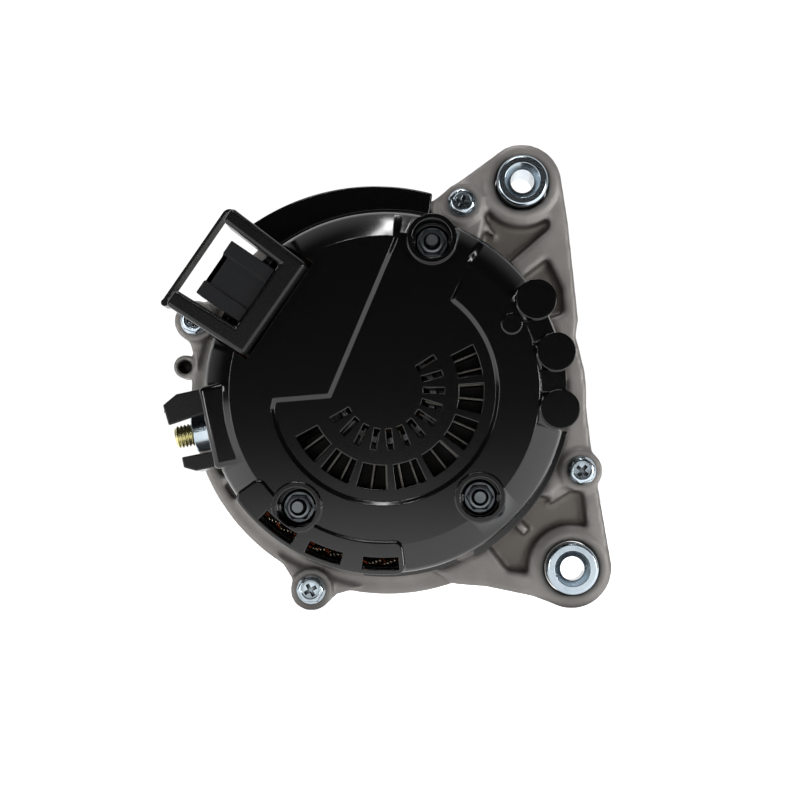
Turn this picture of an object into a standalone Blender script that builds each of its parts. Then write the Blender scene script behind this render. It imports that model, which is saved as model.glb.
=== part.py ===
"""Car alternator, built as the assembly it is: two cast brackets, a stator, a claw-pole rotor in ball
bearings, brushes, a regulator, a rectifier, a moulded rear cover and a pulley.

The shaft lies along Y. The rear cover faces -Y, the pulley is at +Y, and Z is up. The origin is on the
shaft axis, at the outer face of the cover's centre disc. Sizes are in millimetres, and solid() turns
them to metres.
"""

import math

import bmesh
import bpy
from mathutils import Matrix

MM = 0.001
GAP = 0.3

# Rear cover
COVER_RIM_R = 62.0
COVER_TOP_R = 52.3
COVER_TOP_Y = -1.2
COVER_WALL = 2.0
COVER_END_Y = 29.3
GRILLE_R = 37.6
INNER_SLOTS = 12
OUTER_SLOTS = 8
NUT_PLACES = ((16.2, 51.1), (-29.2, -39.4), (32.3, -36.1))
COLLAR_R = 8.4
COLLAR_FLOOR_Y = 12.0
EDGE_BOSSES = ((51.3, 30.4, 6.8), (57.9, 12.7, 6.5), (59.1, -6.6, 6.6))

# Connector on the cover's upper left
PLUG_ANGLE = 145.8
PLUG_TOP_Y = -8.0
PLUG_END_Y = 8.0
ARM_END = 76.4
STRAP_END = 79.2
STRAP_WALL = 1.0
PIN_PLACES = (-7.5, 0.9)
PIN_WIDTH = 1.6

# Splash shield above the cover
SHIELD_CENTRE = (-4.6, -2.2)
SHIELD_R = 77.6
SHIELD_INNER_R = 66.2

# Output terminal on the cover's left
OUTPUT_ANGLE = 192.0
OUTPUT_Y = 18.0
STUD_R = 4.0

# Brackets, stator and through bolts
BRACKET_R = 70.5
BACK_WALL_Y = 29.6
REAR_SKIRT_END_Y = 57.0
FRONT_SKIRT_Y = 77.0
FRONT_WALL_Y = 103.0
CORE_R = 66.0
CORE_Y0, CORE_Y1 = 52.6, 81.4
STATOR_BORE_R = 50.3
STATOR_SLOTS = 12
BOLT_R = 73.7
BOLT_ANGLES = (68.7, -21.3, -111.3, 158.7)
LUG_R = 7.4
UPPER_EAR = (48.1, 75.8)
LOWER_EAR = (65.0, -61.0)
EAR_R = 14.2
EAR_Y0, EAR_Y1 = 31.0, 39.0
POCKET_EAR_R = 15.6
POCKET_SKIRT_R = 62.8
POCKET_DEPTH = 4.0
BUSHING_R = 9.1
BUSHING_FACE_Y = 24.5
TAPPED_BOSS = (-72.9, 10.7)

# Rotor
ROTOR_R = 49.8
CLAWS = 8
REAR_POLE_Y = 48.0
FRONT_POLE_Y = 84.0
REAR_BEARING_Y = (28.4, 39.4)
FRONT_BEARING_Y = (98.0, 112.0)
BALL_SHARE = 0.245
BALL_ROOM = 0.35
RING_R = 7.2
RING_PLACES = (10.5, 19.0)
PULLEY_Y = (119.0, 143.0)
PULLEY_R = 27.5
PULLEY_RIBS = 6
RIB_PITCH = 3.56


def clear_scene():
    """Empty the file of every object."""
    for item in list(bpy.data.objects):
        bpy.data.objects.remove(item, do_unlink=True)


def finish(name, colour, roughness, metallic):
    """Make a Principled material from a colour, a roughness and a metallic value."""
    material = bpy.data.materials.new(name)
    material.use_nodes = True
    shader = material.node_tree.nodes["Principled BSDF"]
    shader.inputs["Base Color"].default_value = (*colour, 1.0)
    shader.inputs["Roughness"].default_value = roughness
    shader.inputs["Metallic"].default_value = metallic
    return material


def solid(name, vertices, faces, material=None):
    """Make one object from points in millimetres, with its faces turned outwards."""
    mesh = bpy.data.meshes.new(name)
    mesh.from_pydata([tuple(c * MM for c in v) for v in vertices], [], faces)
    work = bmesh.new()
    work.from_mesh(mesh)
    bmesh.ops.recalc_face_normals(work, faces=work.faces[:])
    work.to_mesh(mesh)
    work.free()
    item = bpy.data.objects.new(name, mesh)
    bpy.context.collection.objects.link(item)
    if material:
        mesh.materials.append(material)
    return item


def at(radius, angle):
    """Return the (x, z) point at a radius and an angle in degrees about the shaft."""
    turn = math.radians(angle)
    return radius * math.cos(turn), radius * math.sin(turn)


def lathe(name, profile, steps, material=None, centre=(0.0, 0.0)):
    """Turn a closed profile of (radius, y) points about an axis along Y through centre."""
    vertices, rings = [], []
    for radius, y in profile:
        first = len(vertices)
        if radius == 0.0:
            vertices.append((centre[0], y, centre[1]))
            rings.append([first] * steps)
            continue
        for k in range(steps):
            x, z = at(radius, 360.0 * k / steps)
            vertices.append((centre[0] + x, y, centre[1] + z))
        rings.append(list(range(first, first + steps)))
    faces = []
    for i, ring in enumerate(rings):
        after = rings[(i + 1) % len(rings)]
        for k in range(steps):
            n = (k + 1) % steps
            face = list(dict.fromkeys((ring[k], ring[n], after[n], after[k])))
            if len(face) > 2:
                faces.append(face)
    return solid(name, vertices, faces, material)


def prisms(name, outlines, y0, y1, material=None):
    """Extrude closed outlines of (x, z) points from y0 to y1, as one object."""
    vertices, faces = [], []
    for outline in outlines:
        first, count = len(vertices), len(outline)
        vertices += [(x, y0, z) for x, z in outline] + [(x, y1, z) for x, z in outline]
        faces.append(list(range(first, first + count)))
        faces.append(list(range(first + count, first + 2 * count)))
        for k in range(count):
            n = (k + 1) % count
            faces.append((first + k, first + n, first + count + n, first + count + k))
    return solid(name, vertices, faces, material)


def hulls(name, pairs, material=None):
    """Join each pair of four-cornered ends, given as (x, y, z) points, into one solid block."""
    vertices, faces = [], []
    for near, far in pairs:
        first = len(vertices)
        vertices += list(near) + list(far)
        faces += [[first + k for k in range(4)], [first + 4 + k for k in range(4)]]
        for k in range(4):
            n = (k + 1) % 4
            faces.append((first + k, first + n, first + 4 + n, first + 4 + k))
    return solid(name, vertices, faces, material)


def box(name, x, y, z, material=None):
    """Make a block between the two ends given for each axis."""
    outline = ((x[0], z[0]), (x[1], z[0]), (x[1], z[1]), (x[0], z[1]))
    return prisms(name, [outline], y[0], y[1], material)


def circle(radius, steps, centre=(0.0, 0.0)):
    """Return the (x, z) points of a circle."""
    points = (at(radius, 360.0 * k / steps) for k in range(steps))
    return [(centre[0] + x, centre[1] + z) for x, z in points]


def arc(radius, start, end, steps, centre=(0.0, 0.0)):
    """Return the (x, z) points of an arc from one angle to another."""
    points = (at(radius, start + (end - start) * k / steps) for k in range(steps + 1))
    return [(centre[0] + x, centre[1] + z) for x, z in points]


def sector(inner, outer, start, end, steps):
    """Return the outline of a piece of a ring."""
    return arc(outer, start, end, steps) + arc(inner, end, start, steps)


def radial_bar(inner, outer, width, angle):
    """Return the outline of a straight bar that lies along a radius."""
    out, side = at(1.0, angle), at(width / 2.0, angle + 90.0)
    return [
        (out[0] * r + side[0] * s, out[1] * r + side[1] * s)
        for r, s in ((inner, -1), (outer, -1), (outer, 1), (inner, 1))
    ]


def hexagon(across_flats, centre=(0.0, 0.0)):
    """Return the outline of a hexagon."""
    return circle(across_flats / math.sqrt(3.0), 6, centre)


def combine(item, others, operation):
    """Cut or join other objects into item, and remove them."""
    for other in others:
        step = item.modifiers.new(operation, "BOOLEAN")
        step.operation = operation
        step.solver = "EXACT"
        step.object = other
        seen = bpy.context.evaluated_depsgraph_get()
        result = bpy.data.meshes.new_from_object(item.evaluated_get(seen))
        item.modifiers.clear()
        item.data = result
        bpy.data.objects.remove(other, do_unlink=True)
    return item


def cut(item, *others):
    """Take other objects out of item."""
    return combine(item, others, "DIFFERENCE")


def fuse(item, *others):
    """Join other objects to item."""
    return combine(item, others, "UNION")


def face_outwards(item, angle, y):
    """Turn an object made about Y so that its axis points out from the shaft at an angle."""
    turn = Matrix.Rotation(math.radians(-angle), 4, "Y")
    item.matrix_world = (
        Matrix.Translation((0.0, y * MM, 0.0)) @ turn @ Matrix.Rotation(math.radians(-90.0), 4, "Z")
    )
    return item


def make_cover(plastic):
    """Moulded rear cover: a shallow cup with a grille, nut wells, edge bosses and a raised tray."""
    inner = COVER_RIM_R - COVER_WALL
    cover = lathe(
        "rear_cover",
        (
            (0.0, COVER_TOP_Y),
            (COVER_TOP_R, COVER_TOP_Y),
            (60.4, 5.0),
            (COVER_RIM_R, 9.5),
            (COVER_RIM_R, COVER_END_Y),
            (inner, COVER_END_Y),
            (inner, 10.2),
            (58.6, 7.0),
            (51.4, 2.2),
            (0.0, 2.2),
        ),
        36,
        plastic,
    )
    recess = [(-36.5, -4.0), (-18.0, -2.5), (4.5, 51.0), (6.0, 56.0)]
    recess += [(29.5, 47.5), (27.5, 41.0), (22.5, 30.5)] + arc(GRILLE_R, 52.0, -170.0, 20)
    tray = sector(51.0, 61.8, -145.0, -83.0, 8)
    fuse(cover, prisms("tray", [tray], -2.4, 6.0))
    for x, z, radius in EDGE_BOSSES:
        fuse(cover, prisms("boss", [circle(radius, 14, (x, z))], -2.6, 12.0))
    fuse(cover, prisms("small_boss", [circle(3.5, 12, (43.0, 22.3))], -2.0, 1.0))
    links = [radial_bar(52.7, 60.4, 7.4, 21.4), radial_bar(52.9, 61.2, 7.4, 3.0)]
    fuse(cover, prisms("boss_links", links, -1.0, 11.0))
    hood = radial_bar(51.8, 61.6, 28.4, OUTPUT_ANGLE)
    fuse(cover, prisms("terminal_hood", [hood], 0.6, 8.6))
    feet = [sector(60.6, 64.4, -61.0, -12.0, 6), sector(60.6, 63.6, -97.0, -67.0, 4)]
    fuse(cover, prisms("feet", feet, 20.0, COVER_END_Y - 0.1))
    cut(cover, prisms("recess", [recess], -5.0, 0.0))
    inner_slots = [radial_bar(13.2, 20.4, 2.0, -150.0 + 16.6 * k) for k in range(INNER_SLOTS)]
    cut(cover, prisms("inner_slots", inner_slots, -6.0, 5.0))
    starts = [-152.0 + 23.0 * k for k in range(OUTER_SLOTS)]
    outer_slots = [sector(25.4, 33.6, a, a + 18.0, 2) for a in starts]
    cut(cover, prisms("outer_slots", outer_slots, -6.0, 5.0))
    make_wells(cover)
    make_cover_openings(cover)
    return cover


def make_wells(cover):
    """Sink the three wells that the cover nuts sit in."""
    top, floor = COVER_TOP_Y - 1.8, COLLAR_FLOOR_Y
    for centre in NUT_PLACES:
        cut(cover, prisms("well_hole", [circle(7.75, 14, centre)], -6.0, floor - 1.0))
        profile = (
            (6.9, top),
            (COLLAR_R, top),
            (COLLAR_R, floor),
            (3.3, floor),
            (3.3, floor - 2.0),
            (6.9, floor - 2.0),
        )
        fuse(cover, lathe("well", profile, 14, None, centre))


def make_cover_openings(cover):
    """Cut the cover's windows over the windings and its openings for plug and output terminal."""
    windows = [sector(56.2, 60.3, a, a + w, 3) for a, w in ((-134, 13), (-116, 12), (-97, 12))]
    cut(cover, prisms("windows", windows, -4.0, 9.5))
    plug = box("plug_opening", (44.2, 66.0), (-6.0, PLUG_END_Y + 0.4), (-22.0, 17.6))
    plug.rotation_euler.y = math.radians(-PLUG_ANGLE)
    bpy.context.view_layer.update()
    cut(cover, plug)
    output = prisms("output_opening", [radial_bar(48.0, 66.0, 29.0, OUTPUT_ANGLE)], 7.0, 32.0)
    cut(cover, output)


def make_connector(plastic, core, pin):
    """Plug socket: two thick arms, a back wall and a thin end strap, round a contact block."""
    outline = [(44.6, -20.2), (ARM_END, -22.0), (STRAP_END, -21.2), (STRAP_END, 17.2), (ARM_END, 17.6),
               (45.0, 17.0)]
    socket = prisms("connector_housing", [outline], PLUG_TOP_Y, PLUG_END_Y, plastic)
    inside = STRAP_END - STRAP_WALL
    hollow = [(52.4, -15.0), (ARM_END, -16.4), (ARM_END, -20.8), (inside, -20.2), (inside, 16.2),
              (ARM_END, 16.6), (ARM_END, 11.4), (52.4, 10.4)]
    cut(socket, prisms("hollow", [hollow], -10.0, 10.0))
    cut(socket, box("strap_relief", (ARM_END, STRAP_END + 1.0), (-10.0, -1.0), (-25.0, 20.0)))
    block = box("connector_block", (52.8, 70.6), (-5.0, PLUG_END_Y), (-12.8, 8.4), core)
    cut(block, box("keyway", (66.0, 72.0), (-6.0, 2.0), (-10.2, 5.0)))
    pieces = [socket, block]
    for n, low in enumerate(PIN_PLACES, 1):
        high = low + PIN_WIDTH
        pieces.append(box(f"connector_pin_{n}", (66.4, 74.5), (3.0, 3.8), (low, high), pin))
        cut(block, box("pin_hole", (60.0, 72.0), (2.6, 4.2), (low - GAP, high + GAP)))
    for piece in pieces:
        piece.rotation_euler.y = math.radians(-PLUG_ANGLE)


def make_shield(plastic):
    """Black splash shield, a crescent behind the cover's upper left edge."""
    outline = arc(SHIELD_R, 74.5, 126.0, 16, SHIELD_CENTRE) + arc(SHIELD_INNER_R, 128.5, 76.8, 12)
    shield = prisms("heat_shield", [outline], 31.9, 33.6, plastic)
    x, z = at(BOLT_R, BOLT_ANGLES[0])
    return cut(shield, prisms("lug_room", [circle(LUG_R + 0.6, 24, (x, z))], 20.0, 60.0))


def lug_web(angle):
    """Return the outline of the web that joins a bolt lug to a bracket."""
    out, side = at(1.0, angle), at(LUG_R - 0.5, angle + 90.0)
    foot = arc(BRACKET_R - 1.6, angle + 13.0, angle - 13.0, 2)
    return foot + [(out[0] * BOLT_R - side[0], out[1] * BOLT_R - side[1]),
                   (out[0] * BOLT_R + side[0], out[1] * BOLT_R + side[1])]


def add_lugs(bracket, y0, y1, hole_end):
    """Add the four bolt lugs and drill them."""
    for angle in BOLT_ANGLES:
        fuse(bracket, prisms("lug_web", [lug_web(angle)], y0 + 4.0, y1 - 0.5))
        centre = at(BOLT_R, angle)
        fuse(bracket, prisms("lug", [circle(LUG_R, 14, centre)], y0, y1))
    holes = [circle(2.8, 8, at(BOLT_R, angle)) for angle in BOLT_ANGLES]
    cut(bracket, prisms("bolt_holes", holes, y0 - 2.0, hole_end))


def ear_outline():
    """Return the outline of the cast flange that carries both ears."""
    upper = arc(EAR_R, 116.0, 8.0, 7, UPPER_EAR)
    lower = arc(EAR_R, 12.0, -118.0, 8, LOWER_EAR)
    side = [(64.5, 62.0), (68.0, 27.0), (67.0, 21.0)] + arc(BRACKET_R + 0.2, 7.0, -3.0, 2)
    foot = [(51.5, -71.0), (35.0, -67.6), (24.0, -66.8)]
    inner = arc(64.6, -75.0, 76.0, 14)
    return [(16.5, 70.0)] + upper + side + [(72.5, -20.0)] + lower + foot + inner


def ear_pockets():
    """Return the outlines of the flange's three pockets, which curve round the ears and the skirt."""
    upper = arc(POCKET_EAR_R, -142.0, -52.0, 6, UPPER_EAR) + [(57.5, 60.0)]
    upper += arc(POCKET_SKIRT_R, 48.0, 58.0, 2)
    middle = [(57.0, 48.5), (62.0, 38.0), (62.5, 29.5)] + arc(POCKET_SKIRT_R, 26.0, 41.0, 2)
    lower = arc(POCKET_EAR_R, 70.0, 186.0, 8, LOWER_EAR) + [(42.5, -61.5)]
    lower += arc(POCKET_SKIRT_R, -56.0, -34.0, 4) + [(58.5, -37.0), (61.5, -33.0), (69.0, -34.5)]
    return [upper, middle, lower]


def add_ears(bracket):
    """Add the ear flange with its bosses, pockets, tab and bushing holes."""
    fuse(bracket, prisms("ear_flange", [ear_outline()], EAR_Y0, EAR_Y1))
    fuse(bracket, prisms("upper_boss", [circle(12.8, 18, UPPER_EAR)], EAR_Y0 - 0.8, 45.6))
    fuse(bracket, prisms("lower_boss", [circle(12.8, 18, LOWER_EAR)], EAR_Y0 - 0.8, 41.0))
    cut(bracket, prisms("pockets", ear_pockets(), EAR_Y0 - 4.0, EAR_Y0 + POCKET_DEPTH))
    fuse(bracket, prisms("tab", [radial_bar(64.0, 69.2, 2.6, -44.5)], EAR_Y0, EAR_Y1))
    holes = [circle(BUSHING_R + GAP, 20, UPPER_EAR), circle(BUSHING_R + GAP, 20, LOWER_EAR)]
    cut(bracket, prisms("bushing_holes", holes, 20.0, 60.0))


def skirt_windows(y0, y1):
    """Make the cutter for the air windows round a bracket's skirt."""
    angles = [45.0 * k + 1.2 for k in range(8)]
    clear = [a for a in angles if all(abs((a - b + 180.0) % 360.0 - 180.0) > 16.0 for b in BOLT_ANGLES)]
    return prisms("skirt_windows", [radial_bar(60.0, 72.0, 22.0, a) for a in clear], y0, y1)


def make_rear_bracket(cast):
    """Cast rear bracket: a bowl with a bearing hub, air windows, bolt lugs and the two ears."""
    bracket = lathe(
        "rear_bracket",
        (
            (17.8, 28.0),
            (20.5, 28.0),
            (22.0, BACK_WALL_Y),
            (61.5, BACK_WALL_Y),
            (65.0, 34.0),
            (BRACKET_R, 34.0),
            (BRACKET_R, REAR_SKIRT_END_Y),
            (CORE_R + GAP, REAR_SKIRT_END_Y),
            (CORE_R + GAP, CORE_Y0 - GAP),
            (63.6, CORE_Y0 - GAP),
            (63.6, 37.0),
            (60.0, 33.6),
            (24.0, 33.6),
            (21.4, 40.6),
            (17.8, 40.6),
        ),
        36,
        cast,
    )
    add_ears(bracket)
    add_lugs(bracket, 30.0, REAR_SKIRT_END_Y, REAR_SKIRT_END_Y + 2.0)
    fuse(bracket, prisms("tapped_boss", [circle(4.2, 16, TAPPED_BOSS)], 34.5, 48.0))
    fuse(bracket, prisms("boss_foot", [radial_bar(66.0, 71.0, 7.0, 171.6)], 36.0, 47.0))
    cut(bracket, prisms("tapped_hole", [circle(2.5, 12, TAPPED_BOSS)], 30.0, 45.0))
    gaps = [sector(26.5, 57.0, 30.0 * k + 3.4, 30.0 * k + 26.6, 2) for k in range(12)]
    kept = [g for k, g in enumerate(gaps) if k not in (2, 7, 10)]
    shoulder_holes = [sector(61.8, 66.0, 201.0, 206.0, 1), sector(62.4, 66.2, 208.6, 214.0, 1)]
    cut(bracket, prisms("back_windows", kept + shoulder_holes, 26.0, 36.0))
    return cut(bracket, skirt_windows(41.5, 50.5))


def make_front_bracket(cast):
    """Cast front bracket: a bowl with the front bearing hub, air windows and tapped bolt lugs."""
    wall = FRONT_WALL_Y
    bracket = lathe(
        "front_bracket",
        (
            (CORE_R + GAP, FRONT_SKIRT_Y),
            (BRACKET_R, FRONT_SKIRT_Y),
            (BRACKET_R, 97.0),
            (62.0, wall + 1.0),
            (30.0, wall + 4.0),
            (28.0, 114.0),
            (20.0, 114.0),
            (23.8, 112.3),
            (23.8, 97.6),
            (29.0, 97.6),
            (32.0, wall - 1.0),
            (58.0, wall - 3.0),
            (63.6, 95.0),
            (63.6, CORE_Y1 + GAP),
            (CORE_R + GAP, CORE_Y1 + GAP),
        ),
        36,
        cast,
    )
    add_lugs(bracket, FRONT_SKIRT_Y, 96.0, 94.0)
    gaps = [sector(35.0, 55.0, 45.0 * k + 5.0, 45.0 * k + 40.0, 2) for k in range(8)]
    cut(bracket, prisms("front_windows", gaps, 90.0, 112.0))
    return cut(bracket, skirt_windows(84.0, 93.0))


def make_bolts(zinc):
    """Four hex-flange through bolts that clamp the brackets on the stator."""
    profile = (
        (0.0, 27.8), (4.2, 27.8), (5.2, 28.9), (5.2, 29.7), (2.5, 29.7), (2.5, 92.0), (0.0, 92.6),
    )
    for n, angle in enumerate(BOLT_ANGLES, 1):
        bolt = lathe(f"through_bolt_{n}", profile, 12, zinc)
        fuse(bolt, prisms("head", [hexagon(8.0)], 26.0, 28.4))
        cut(bolt, box("cross_a", (-2.2, 2.2), (25.0, 27.4), (-0.5, 0.5)))
        cut(bolt, box("cross_b", (-0.5, 0.5), (25.0, 27.4), (-2.2, 2.2)))
        x, z = at(BOLT_R, angle)
        bolt.location = (x * MM, 0.0, z * MM)
        bolt.rotation_euler.y = math.radians(20.0 * n)


def make_bushings(zinc):
    """Steel bushings in the two ears, with a wide countersink at the rear."""
    for name, centre, end in (("upper", UPPER_EAR, 46.0), ("lower", LOWER_EAR, 38.0)):
        face = BUSHING_FACE_Y
        profile = (
            (4.2, face + 2.4), (6.1, face), (BUSHING_R - 0.6, face), (BUSHING_R, face + 0.6),
            (BUSHING_R, end), (4.2, end),
        )
        lathe(f"{name}_ear_bushing", profile, 20, zinc, centre)


def make_stator(steel, copper):
    """Laminated core with open slots, and a winding whose bars run through them."""
    core = lathe(
        "stator_core",
        ((STATOR_BORE_R, CORE_Y0), (CORE_R, CORE_Y0), (CORE_R, CORE_Y1), (STATOR_BORE_R, CORE_Y1)),
        48,
        steel,
    )
    angles = [360.0 * k / STATOR_SLOTS for k in range(STATOR_SLOTS)]
    slots = [radial_bar(48.0, 61.0, 9.4, a) for a in angles]
    cut(core, prisms("slots", slots, CORE_Y0 - 3.0, CORE_Y1 + 3.0))
    rear = ((52.0, 41.2), (60.4, 41.2), (61.2, 46.0), (61.2, CORE_Y0 - 1.0), (52.0, CORE_Y0 - 1.0))
    front = ((52.0, 92.6), (60.4, 92.6), (61.2, 88.0), (61.2, CORE_Y1 + 1.0), (52.0, CORE_Y1 + 1.0))
    winding = lathe("stator_winding", rear, 24, copper)
    bars = [radial_bar(52.6, 60.0, 8.4, a) for a in angles]
    fuse(winding, prisms("bars", bars, CORE_Y0 - 3.0, CORE_Y1 + 3.0), lathe("crown", front, 24))


def claw(start, end, angle):
    """Return the two ends of one pole finger, wide at its root and narrow at its tip."""
    ends = []
    for y, low, half in ((start, 38.5, 9.0), (end, 45.0, 3.6)):
        corners = ((low, -half), (ROTOR_R - 0.5, -half), (ROTOR_R - 0.5, half), (low, half))
        out, side = at(1.0, angle), at(1.0, angle + 90.0)
        ends.append([(out[0] * r + side[0] * s, y, out[1] * r + side[1] * s) for r, s in corners])
    return ends


def make_pole(name, back, inside, tip, turn, steel):
    """One claw pole: a plate, half of the core, and eight tapered fingers."""
    lean = 10.0 if inside > back else -10.0
    plate = back + lean
    middle = inside - math.copysign(GAP / 2.0, lean)
    profile = ((9.3, back), (36.0, back), (36.0, plate), (22.0, plate), (22.0, middle), (9.3, middle))
    pole = lathe(name, profile, 24, steel)
    angles = [turn + 360.0 * k / CLAWS for k in range(CLAWS)]
    low, high = sorted((back + lean * 0.06, plate - lean * 0.06))
    fuse(pole, prisms("roots", [radial_bar(30.0, 47.6, 17.0, a) for a in angles], low, high))
    return fuse(pole, hulls("fingers", [claw(back + lean * 0.2, tip, a) for a in angles]))


def make_fan(name, plate_y, blade_y, turn, steel):
    """Pressed steel fan: a disc with curved blades turned up from it."""
    low, high = sorted((plate_y, plate_y + math.copysign(1.2, plate_y - blade_y)))
    disc = ((9.3, low), (44.0, low), (44.0, high), (9.3, high))
    fan = lathe(name, disc, 24, steel)
    blades = []
    for k in range(9):
        base = turn + 360.0 * k / 9
        outline = [at(r, base + a) for r, a in ((27.0, 0.0), (36.0, 9.0), (46.0, 13.0))]
        outline += [at(r, base + a) for r, a in ((46.0, 14.6), (36.0, 11.0), (27.0, 2.8))]
        blades.append(outline)
    low, high = sorted((blade_y, plate_y + math.copysign(0.6, plate_y - blade_y)))
    return fuse(fan, prisms("blades", blades, low, high))


def make_bearing(name, bore, outer, y, balls, steel, brass):
    """Ball bearing: two races and a cage with its balls."""
    y0, y1 = y
    pitch = (bore + outer) / 2.0
    ball = (outer - bore) * BALL_SHARE
    room = ball + BALL_ROOM
    middle = (y0 + y1) / 2.0
    lathe(f"{name}_inner_race", ((bore, y0), (pitch - room, y0), (pitch - room, y1), (bore, y1)), 20, steel)
    lathe(f"{name}_outer_race", ((pitch + room, y0), (outer, y0), (outer, y1), (pitch + room, y1)), 20, steel)
    ring = lathe(f"{name}_ball_cage", ((pitch - 0.7, middle - 1.0), (pitch + 0.7, middle - 1.0),
                                       (pitch + 0.7, middle + 1.0), (pitch - 0.7, middle + 1.0)),
                 18, brass)
    for k in range(balls):
        x, z = at(pitch, 360.0 * k / balls)
        profile = [
            (ball * math.sin(math.radians(60.0 * i)), middle - ball * math.cos(math.radians(60.0 * i)))
            for i in range(4)
        ]
        profile[0] = (0.0, middle - ball)
        profile[-1] = (0.0, middle + ball)
        fuse(ring, lathe("ball", profile, 6, None, (x, z)))


def make_rotor(steel, copper, bright, plastic, zinc):
    """Shaft, claw poles, field coil, fans, slip rings and their sleeve."""
    shaft = lathe(
        "rotor_shaft",
        (
            (0.0, 4.0), (4.2, 4.0), (4.2, 26.4), (7.5, 26.4), (7.5, 41.0), (9.0, 41.0),
            (9.0, 96.0), (8.5, 96.0), (8.5, 137.0), (7.8, 137.5), (7.8, 151.0), (7.0, 152.0),
            (0.0, 152.0),
        ),
        18,
        bright,
    )
    cut(shaft, prisms("socket", [hexagon(8.0)], 145.0, 155.0))
    inside = (REAR_POLE_Y + FRONT_POLE_Y) / 2.0
    make_pole("rotor_pole_rear", REAR_POLE_Y, inside, FRONT_POLE_Y - 1.4, 0.0, steel)
    make_pole("rotor_pole_front", FRONT_POLE_Y, inside, REAR_POLE_Y + 1.4, 22.5, steel)
    coil = ((22.4, 58.6), (37.8, 58.6), (37.8, 73.4), (22.4, 73.4))
    lathe("field_coil", coil, 24, copper)
    make_fan("rear_fan", 46.2, 37.4, 0.0, steel)
    make_fan("front_fan", 85.8, 94.4, 8.0, steel)
    sleeve = [(4.5, 5.0), (6.8, 5.0), (6.8, 7.0), (5.6, 7.0)]
    for y0, y1 in ((14.0, 15.5), (22.5, 25.0)):
        sleeve += [(5.6, y0), (6.8, y0), (6.8, y1), (5.6, y1)]
    sleeve[-1] = (4.5, 25.0)
    lathe("slip_ring_sleeve", sleeve, 18, plastic)
    for name, y in zip(("outer", "inner"), RING_PLACES):
        ring = ((5.9, y - 3.2), (RING_R, y - 3.2), (RING_R, y + 3.2), (5.9, y + 3.2))
        lathe(f"slip_ring_{name}", ring, 20, bright)
    lathe("pulley_spacer", ((8.8, 97.0), (11.6, 97.0), (11.6, 97.7), (8.8, 97.7)), 20, zinc)


def make_pulley(steel, zinc):
    """Ribbed belt pulley and the nut that holds it."""
    y0, y1 = PULLEY_Y
    pitch = RIB_PITCH
    profile = [(8.8, y0 - 6.6), (13.0, y0 - 6.6), (13.0, y0), (PULLEY_R, y0), (PULLEY_R, y0 + 1.2)]
    for k in range(PULLEY_RIBS):
        y = y0 + 1.3 + k * pitch
        profile += [(PULLEY_R - 3.0, y + pitch * 0.5), (PULLEY_R, y + pitch)]
    profile += [(PULLEY_R, y1), (PULLEY_R - 2.6, y1), (PULLEY_R - 5.4, y1 - 9.0)]
    profile += [(14.0, y1 - 9.0), (14.0, y1 - 6.0), (8.8, y1 - 6.0)]
    lathe("pulley", profile, 24, steel)
    nut = prisms("pulley_nut", [hexagon(22.0)], y1 - 5.7, y1 + 4.3, zinc)
    cut(nut, prisms("thread", [circle(8.2, 20)], y1 - 10.0, y1 + 10.0))


def make_rectifier(alloy, moulding, diode):
    """Two heat-sink plates, the moulding between them, and their diodes."""
    holes = [circle(3.2, 12, p) for p in NUT_PLACES[1:]]
    wells = [circle(COLLAR_R + 0.8, 16, p) for p in NUT_PLACES[1:]]
    start, end = -149.0, 46.0
    positive = prisms("positive_heat_sink", [sector(24.0, 56.0, start, end, 14)], 14.0, 16.2, alloy)
    fins = [radial_bar(23.6, 34.0, 1.4, start + 5.0 + 18.4 * k) for k in range(11)]
    fuse(positive, prisms("fins", fins, 5.0, 15.0))
    negative = prisms("negative_heat_sink", [sector(24.0, 58.5, start, end, 14)], 25.6, 27.8, alloy)
    middle = prisms("rectifier_moulding", [sector(37.0, 55.0, start, end, 10)], 19.0, 21.4, moulding)
    for plate in (positive, negative, middle):
        cut(plate, prisms("stud_holes", holes, 10.0, 30.0))
    bites = [circle(4.3, 12, at(44.0, a)) for a in (-142.0, -92.0, -66.0, -22.0, 2.0, 28.0)]
    cut(middle, prisms("diode_holes", bites, 15.0, 25.0))
    cut(positive, prisms("well_room", wells, 2.0, 12.6))
    for n, angle in enumerate((-142.0, -92.0, -66.0), 1):
        x, z = at(44.0, angle)
        lathe(f"positive_diode_{n}", ((0.0, 16.6), (4.0, 16.6), (4.0, 18.6), (0.8, 19.4),
                                      (0.8, 24.0), (0.0, 24.0)), 12, diode, (x, z))
    for n, angle in enumerate((-22.0, 2.0, 28.0), 1):
        x, z = at(44.0, angle)
        lathe(f"negative_diode_{n}", ((0.0, 25.2), (4.0, 25.2), (4.0, 22.4), (0.8, 21.6),
                                      (0.8, 17.6), (0.0, 17.6)), 12, diode, (x, z))


def make_studs(zinc):
    """Three studs that stand on the rear bracket, each with a flanged nut in its well."""
    seat = COLLAR_FLOOR_Y - 2.0 - GAP
    for n, (x, z) in enumerate(NUT_PLACES, 1):
        lathe(f"cover_stud_{n}", ((0.0, 1.2), (1.9, 1.2), (2.5, 1.8), (2.5, 29.2), (0.0, 29.2)),
              14, zinc, (x, z))
        flange = ((0.0, seat), (6.2, seat), (5.4, seat - 1.4), (0.0, seat - 1.4))
        nut = lathe(f"cover_nut_{n}", flange, 16, zinc, (x, z))
        fuse(nut, prisms("hex", [hexagon(8.0, (x, z))], 4.6, seat - 1.0))
        cut(nut, prisms("thread", [circle(2.8, 12, (x, z))], 2.0, 12.0))


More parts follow.
